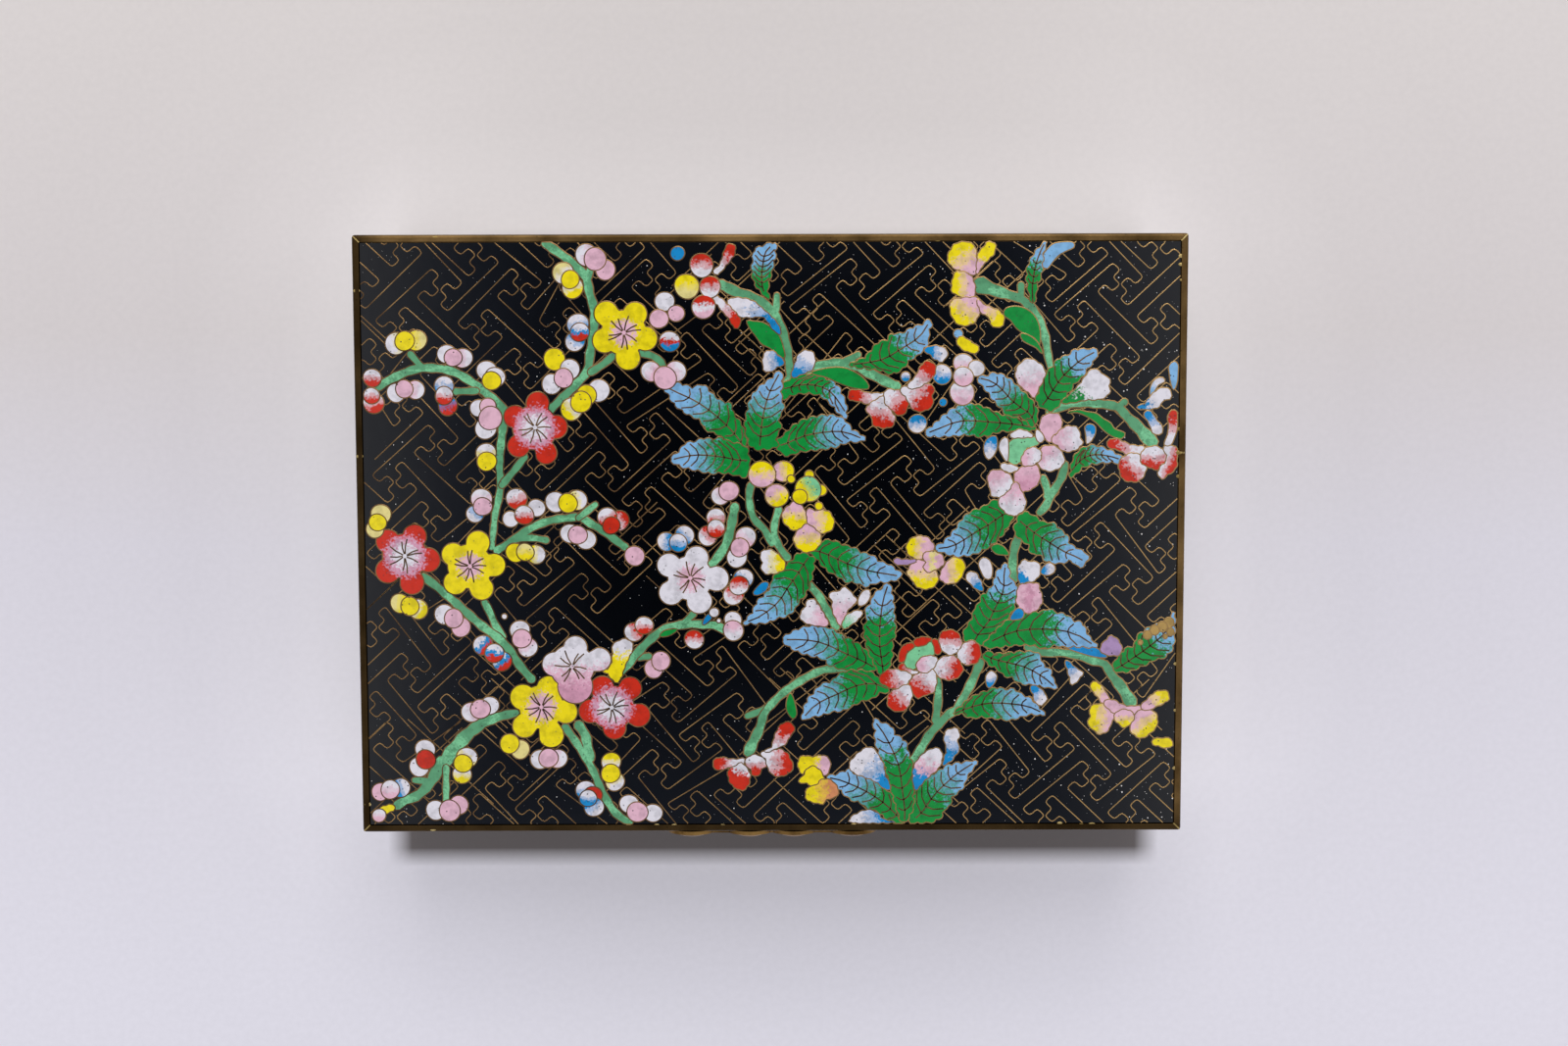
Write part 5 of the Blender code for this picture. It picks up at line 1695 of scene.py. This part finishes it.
@dataclass
class Studio:
    """Floor, light and camera. Sizes in millimetres, angles in degrees, the floor's bands in metres."""

    camera_place: Tuple[float, float, float] = (2.05, 49.16, 484.3)
    camera_turn: Tuple[float, float, float] = (-6.048, -0.034, -0.134)
    lens: float = 59.31
    floor_half: float = 2500.0
    lamp_place: Tuple[float, float, float] = (20.0, 520.0, 860.0)
    lamp_size: float = 430.0
    # how strongly the paper glows around the box, as painted light
    painted_glow: float = 0.27
    core_shade: float = 0.88
    warm_band: Tuple[float, float] = (-0.09, 0.11)
    shade_starts: Tuple[float, float] = (-0.0680, -0.0644)
    shade_ends: Tuple[float, float] = (-0.040, -0.050)
    shade_side: Tuple[float, float] = (0.0735, 0.0690)
    dim_front: Tuple[float, float] = (-0.05, -0.062)
    box_half: Tuple[float, float] = (0.050, 0.0308)
    lamp_power: float = 2.75

    def camera(self) -> None:
        """Place the camera as the photograph has it."""
        data = bpy.data.cameras.new("camera")
        data.lens = self.lens
        data.sensor_width = 36.0
        data.clip_start = 0.01
        data.clip_end = 20.0
        obj = bpy.data.objects.new("camera", data)
        obj.location = [v * MM for v in self.camera_place]
        obj.rotation_euler = [math.radians(v) for v in self.camera_turn]
        bpy.context.collection.objects.link(obj)
        bpy.context.scene.camera = obj

    def floor(self) -> None:
        """Lay the paper that the box stands on: warmer behind it and cooler in front."""
        bpy.ops.object.select_all(action="DESELECT")
        bpy.ops.mesh.primitive_plane_add(size=self.floor_half * 2 * MM, location=(0, 0, 0))
        obj = bpy.context.object
        obj.name = "floor"
        material = bpy.data.materials.new("pale paper")
        material.use_nodes = True
        n = Nodes(material.node_tree)
        where = n.add("TexCoord", out="Object")
        split = n.add("SeparateXYZ", Vector=where).node.outputs
        back = n.add("MapRange", Value=split["Y"], From_Min=self.warm_band[0], From_Max=self.warm_band[1])
        colour = n.add(
            "ValToRGB",
            back,
            stops=((0.0, "#e9e7ee"), (0.42, "#e2dfe5"), (0.62, "#dcd6d4"), (1.0, "#e0dad5")),
        )
        # the paper lies in deep brown shade close under the box's front, as wide as the box
        deep = n.add(
            "MapRange", Value=split["Y"], From_Min=self.shade_starts[0], From_Max=self.shade_starts[1]
        )
        front = n.add(
            "MapRange", Value=split["Y"], From_Min=self.shade_ends[0], From_Max=self.shade_ends[1]
        )
        aside = n.add("Math", split["X"], operation="ABSOLUTE")
        between = n.add("MapRange", Value=aside, From_Min=self.shade_side[0], From_Max=self.shade_side[1])
        core = n.add(
            "Math",
            n.add(
                "Math", n.add("Math", deep, front, operation="MULTIPLY"), between, operation="MULTIPLY"
            ),
            self.core_shade,
            operation="MULTIPLY",
        )
        colour = n.add("MixRGB", core, colour, linear("#4a4038"))
        fibre = n.add(
            "ValToRGB",
            n.add("TexNoise", where, Scale=scale_for(1.2), Detail=4.0),
            stops=((0.3, 0.965), (0.7, 1.0)),
        )
        # painted light: the paper glows, most right beside the box, to lift the shade that the box casts
        # on it, less so on its shaded front
        beyond = []
        for axis, half in zip("XY", self.box_half):
            past = n.add(
                "Math", n.add("Math", split[axis], operation="ABSOLUTE"), half, operation="SUBTRACT"
            )
            beyond.append(
                n.add("Math", n.add("Math", past, 0.0, operation="MAXIMUM"), 2.0, operation="POWER")
            )
        radius = n.add("Math", n.add("Math", beyond[0], beyond[1], operation="ADD"), operation="SQRT")
        away = n.add("Math", n.add("Math", radius, 0.020, operation="SUBTRACT"), 0.08, operation="DIVIDE")
        glow = n.add(
            "ValToRGB",
            away,
            stops=((0.0, 0.5), (0.03, 0.86), (0.14, 0.68), (0.28, 0.36), (0.5, 0.1), (0.8, 0.0)),
        )
        shaded = n.add(
            "MapRange", Value=split["Y"], From_Min=self.dim_front[0], From_Max=self.dim_front[1]
        )
        share = n.add(
            "Math", 1.0, n.add("Math", shaded, 0.22, operation="MULTIPLY"), operation="SUBTRACT"
        )
        share = n.add("Math", share, n.add("Math", 1.0, core, operation="SUBTRACT"), operation="MULTIPLY")
        # the glow's strength, painted light on the paper
        power = n.add(
            "Math", n.add("Math", glow, share, operation="MULTIPLY"), self.painted_glow, operation="MULTIPLY"
        )
        base = n.add("MixRGB", 1.0, colour, fibre, blend_type="MULTIPLY")
        lit = linear("#fbf7f8")
        shader = n.add(
            "BsdfPrincipled",
            base,
            Roughness=0.85,
            Specular_IOR_Level=0.1,
            Emission_Color=lit,
            Emission_Strength=power,
        )
        n.add("OutputMaterial", Surface=shader)
        obj.data.materials.append(material)

    def light(self) -> None:
        """Light the box with a soft lamp behind it and a pale room with a dark camera side overhead."""
        lamp = bpy.data.lights.new("soft lamp", "AREA")
        lamp.size = self.lamp_size * MM
        lamp.energy = self.lamp_power
        lamp.color = (1.0, 0.985, 0.97)
        obj = bpy.data.objects.new("soft lamp", lamp)
        obj.location = [v * MM for v in self.lamp_place]
        obj.rotation_euler = (-obj.location).to_track_quat("-Z", "Y").to_euler()
        bpy.context.collection.objects.link(obj)
        world = bpy.data.worlds.new("studio")
        bpy.context.scene.world = world
        world.use_nodes = True
        n = Nodes(world.node_tree)
        ray = n.add("TexCoord", out="Generated")
        split = n.add("SeparateXYZ", Vector=ray).node.outputs
        height = n.add("Math", split["Z"], 0.02, operation="MAXIMUM")
        side = n.add("Math", split["X"], height, operation="DIVIDE")
        front = n.add("Math", split["Y"], height, operation="DIVIDE")
        # the photographer and the camera keep the middle of the ceiling dark
        left = n.add("MapRange", Value=side, From_Min=-0.07, From_Max=-0.175)
        right = n.add("MapRange", Value=side, From_Min=0.05, From_Max=0.165)
        low = n.add("MapRange", Value=front, From_Min=-0.15, From_Max=-0.30)
        high = n.add("MapRange", Value=front, From_Min=-0.03, From_Max=0.10)
        lit = n.add(
            "Math",
            n.add("Math", left, right, operation="MAXIMUM"),
            n.add("Math", low, high, operation="MAXIMUM"),
            operation="MAXIMUM",
        )
        colour = n.add("ValToRGB", lit, stops=((0.0, "#060607"), (0.5, "#70778a"), (1.0, "#dcdce2")))
        background = n.add("Background", Color=colour, Strength=1.04)
        n.add("OutputWorld", Surface=background)
        bpy.context.scene.view_settings.view_transform = "Standard"


@dataclass
class EnamelBox:
    """The box: it takes the CAD frame, lays the inlay on it and finishes every surface."""

    frame: dict
    sizes: Inlay = field(default_factory=Inlay)
    long_face: Tuple[float, float] = (50.7, 135.6)
    short_face: Tuple[float, float] = (69.9, 97.2)
    lid_band: Tuple[float, float] = (43.0, 9.6)
    body_band: Tuple[float, float] = (19.2, 28.6)
    side_step: Tuple[float, float] = (14.0, 13.0)
    mitre_inner: Point = (68.75, 49.55)
    mitre_outer: Point = (69.8, 50.6)
    bead_stretch: Tuple[float, float, float] = (1.5, 0.8, 0.1)
    bead_height: float = 0.06

    def __post_init__(self) -> None:
        """Set up the bench and the lid's face."""
        self.bench = Bench(self.sizes)
        self.lid = Panel(
            "lid", (0, self.sizes.centre_y, self.sizes.face_z), (1, 0, 0), (0, 1, 0), (137.3, 98.9)
        )

    def finish_cad(self) -> None:
        """Give each CAD part its material."""
        # the case's brass is painted darker along its left side and front, as shade
        brass = BrassFinish(
            "rolled brass sheet, soldered and tarnished", "#866a41", "#544023", "#20170b", 0.34, 9.0, 0.75
        ).build()
        lift = BrassFinish(
            "cut brass lobes, worn by fingers", "#9c7a46", "#664c28", "#2a1e0d", 0.32, 4.0
        ).build()
        ground = GlazeFinish("black ground enamel, fired and stoned").build()
        counter = CounterFinish("turquoise counter enamel, sifted").build()
        chosen = {"body_case": brass, "lid_case": brass, "finger_lift": lift}
        for name, node in self.frame["nodes"].items():
            if name in chosen:
                material = chosen[name]
            elif name in ("base_enamel", "body_lining", "lid_lining"):
                material = counter
            else:
                material = ground
            node.data.materials.clear()
            node.data.materials.append(material)

    def _keep(self, obj: bpy.types.Object, panel: Panel, material: bpy.types.Material) -> None:
        """Put a finished piece on its panel with its material, and report it.

        Args:
            obj: The piece.
            panel: The face that it lies on.
            material: Its finish.
        """
        panel.place(obj)
        obj.data.materials.clear()
        obj.data.materials.append(material)
        for face in obj.data.polygons:
            face.material_index = 0
        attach(obj, "root")
        LOG.info("%s: %d faces", obj.name, len(obj.data.polygons))

    def lay_fret(
        self, panel: Panel, even: Sequence[Point], odd: Sequence[Point], material: bpy.types.Material
    ) -> None:
        """Lay the fret's wires on one panel.

        Args:
            panel: The panel.
            even: The crossing points of one hand.
            odd: Those of the other.
            material: The wires' material.
        """
        routes = []
        fret = Fret(even, odd, self.sizes)
        fret.fill(*panel.half)
        for wire in fret.wires():
            for run in clipped(rounded(wire, self.sizes.fret_bow), *panel.half):
                routes.append((run, self.sizes.fret_top, False))
        self._keep(
            self.bench.wires(panel.name + "_fret", routes, self.sizes.fret_width),
            panel,
            material,
        )

    def lay_lid(self, edge: bpy.types.Material, vein: bpy.types.Material) -> None:
        """Lay the lid's flowers.

        Args:
            edge: The edge wires' material.
            vein: The material of veins and stamens.
        """
        garden = Garden(self.sizes, self.bench)
        for i, item in enumerate(STEMS):
            garden.stem(item, i)
        for i, item in enumerate(LEAVES):
            garden.leaf(item, i)
        for i, item in enumerate(BLOSSOMS):
            garden.blossom(item, i)
        for cluster in FLOWERS:
            for i, item in enumerate(cluster):
                garden.petal(item, Layer.FLOWER.value + i * 5 / max(5, len(cluster)))
        for i, item in enumerate(BUDS):
            garden.bud(item, i)
        soft = EnamelFinish("opaque petal enamel, packed wet and stoned", 0.3, 0.9).build()
        leafy = EnamelFinish(
            "leaf enamel, green shaded into pale blue", 0.2, 1.2, 0.47, 0.64, 0.7
        ).build()
        speckled = EnamelFinish(
            "blossom enamel, two colours in grains", 0.24, 0.5, 0.32, 0.53, 0.5
        ).build()
        finishes = {"stem": leafy, "leaf": leafy, "blossom": speckled, "petal": soft, "bud": soft}
        for kind, parts in garden.cells.items():
            if parts:
                self._keep(
                    self.bench.joined("lid_" + kind + "_cells", parts),
                    self.lid,
                    finishes[kind],
                )
        third = len(garden.edges) // 3 + 1
        for k in range(3):
            batch = garden.edges[k * third : (k + 1) * third]
            name = "lid_edge_wires_" + "abc"[k]
            self._keep(self.bench.wires(name, batch, self.sizes.outline_width), self.lid, edge)
        self._keep(
            self.bench.wires("lid_vein_wires", garden.veins, self.sizes.vein_width),
            self.lid,
            vein,
        )

    def lay_sides(self, wire: bpy.types.Material) -> None:
        """Lay the fret on the four sides of the lid and of the body.

        Args:
            wire: The wires' material.
        """
        middle = self.sizes.centre_y
        front, long = self.long_face
        side, short = self.short_face
        places = (
            ("front", (0, middle - front), (1, 0, 0), long),
            ("back", (0, middle + front), (-1, 0, 0), long),
            ("left", (-side, middle), (0, -1, 0), short),
            ("right", (side, middle), (0, 1, 0), short),
        )
        across, up = self.side_step
        even = [(i * across, j * up) for i in range(-5, 6) for j in range(-2, 3)]
        odd = [(x + across / 2, y + up / 2) for x, y in even]
        for name, (px, py), right, width in places:
            for part, (z, height) in (("lid", self.lid_band), ("body", self.body_band)):
                panel = Panel(part + "_" + name, (px, py, z), right, (0, 0, 1), (width, height))
                self.lay_fret(panel, even, odd, wire)

    def drop_solder(self, material: bpy.types.Material) -> None:
        """Leave the small solder beads that show along the rim.

        Args:
            material: The solder's material.
        """
        beads = []
        for x, y, radius in SOLDER:
            bpy.ops.object.select_all(action="DESELECT")
            bpy.ops.mesh.primitive_uv_sphere_add(
                segments=14, ring_count=8, radius=radius, location=(x, y, self.bead_height)
            )
            bead = bpy.context.object
            bead.scale = self.bead_stretch
            bpy.ops.object.transform_apply(location=True, rotation=True, scale=True)
            beads.append(bead)
        self._keep(self.bench.joined("rim_solder_beads", beads), self.lid, material)
        # the rim's strips meet at mitred corners, each closed with a fine line of solder
        seams = []
        for sx, sy in ((1, 1), (-1, -1), (1, -1), (-1, 1)):
            ends = [(sx * x, sy * y) for x, y in (self.mitre_inner, self.mitre_outer)]
            seams.append((ends, self.sizes.seam_top, False))
        self._keep(
            self.bench.wires("rim_mitre_seams", seams, self.sizes.seam_width), self.lid, material
        )

    def make(self) -> None:
        """Make the whole visual model."""
        self.finish_cad()
        # the fret wires and the cell wires are painted brighter towards the right, as sheen
        wire = BrassFinish(
            "drawn copper wire, gilt, painted with sheen to the right", "#b8925e", "#76593a", "#2c2017", 0.2, 5.0, 0.0, 0.75
        ).build()
        edge = BrassFinish(
            "cell wire, browned in the kiln", "#9a7850", "#5c462e", "#241a10", 0.26, 4.0, 0.0, 0.5
        ).build()
        vein = BrassFinish(
            "fine drawn wire, darkened in the kiln", "#80664a", "#4c3a2a", "#1f1711", 0.3, 3.0
        ).build()
        solder = BrassFinish("silver solder, filed", "#d2bc80", "#9a8248", "#54431f", 0.36, 1.5).build()
        self.lay_fret(self.lid, FRET_EVEN, FRET_ODD, wire)
        self.lay_sides(wire)
        self.lay_lid(edge, vein)
        self.drop_solder(solder)


def main() -> None:
    """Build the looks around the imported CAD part."""
    logging.basicConfig(level=logging.INFO)
    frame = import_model()
    bpy.ops.object.select_all(action="DESELECT")
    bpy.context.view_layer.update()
    studio = Studio()
    studio.camera()
    studio.floor()
    studio.light()
    EnamelBox(frame).make()


if __name__ == "__main__":
    main()
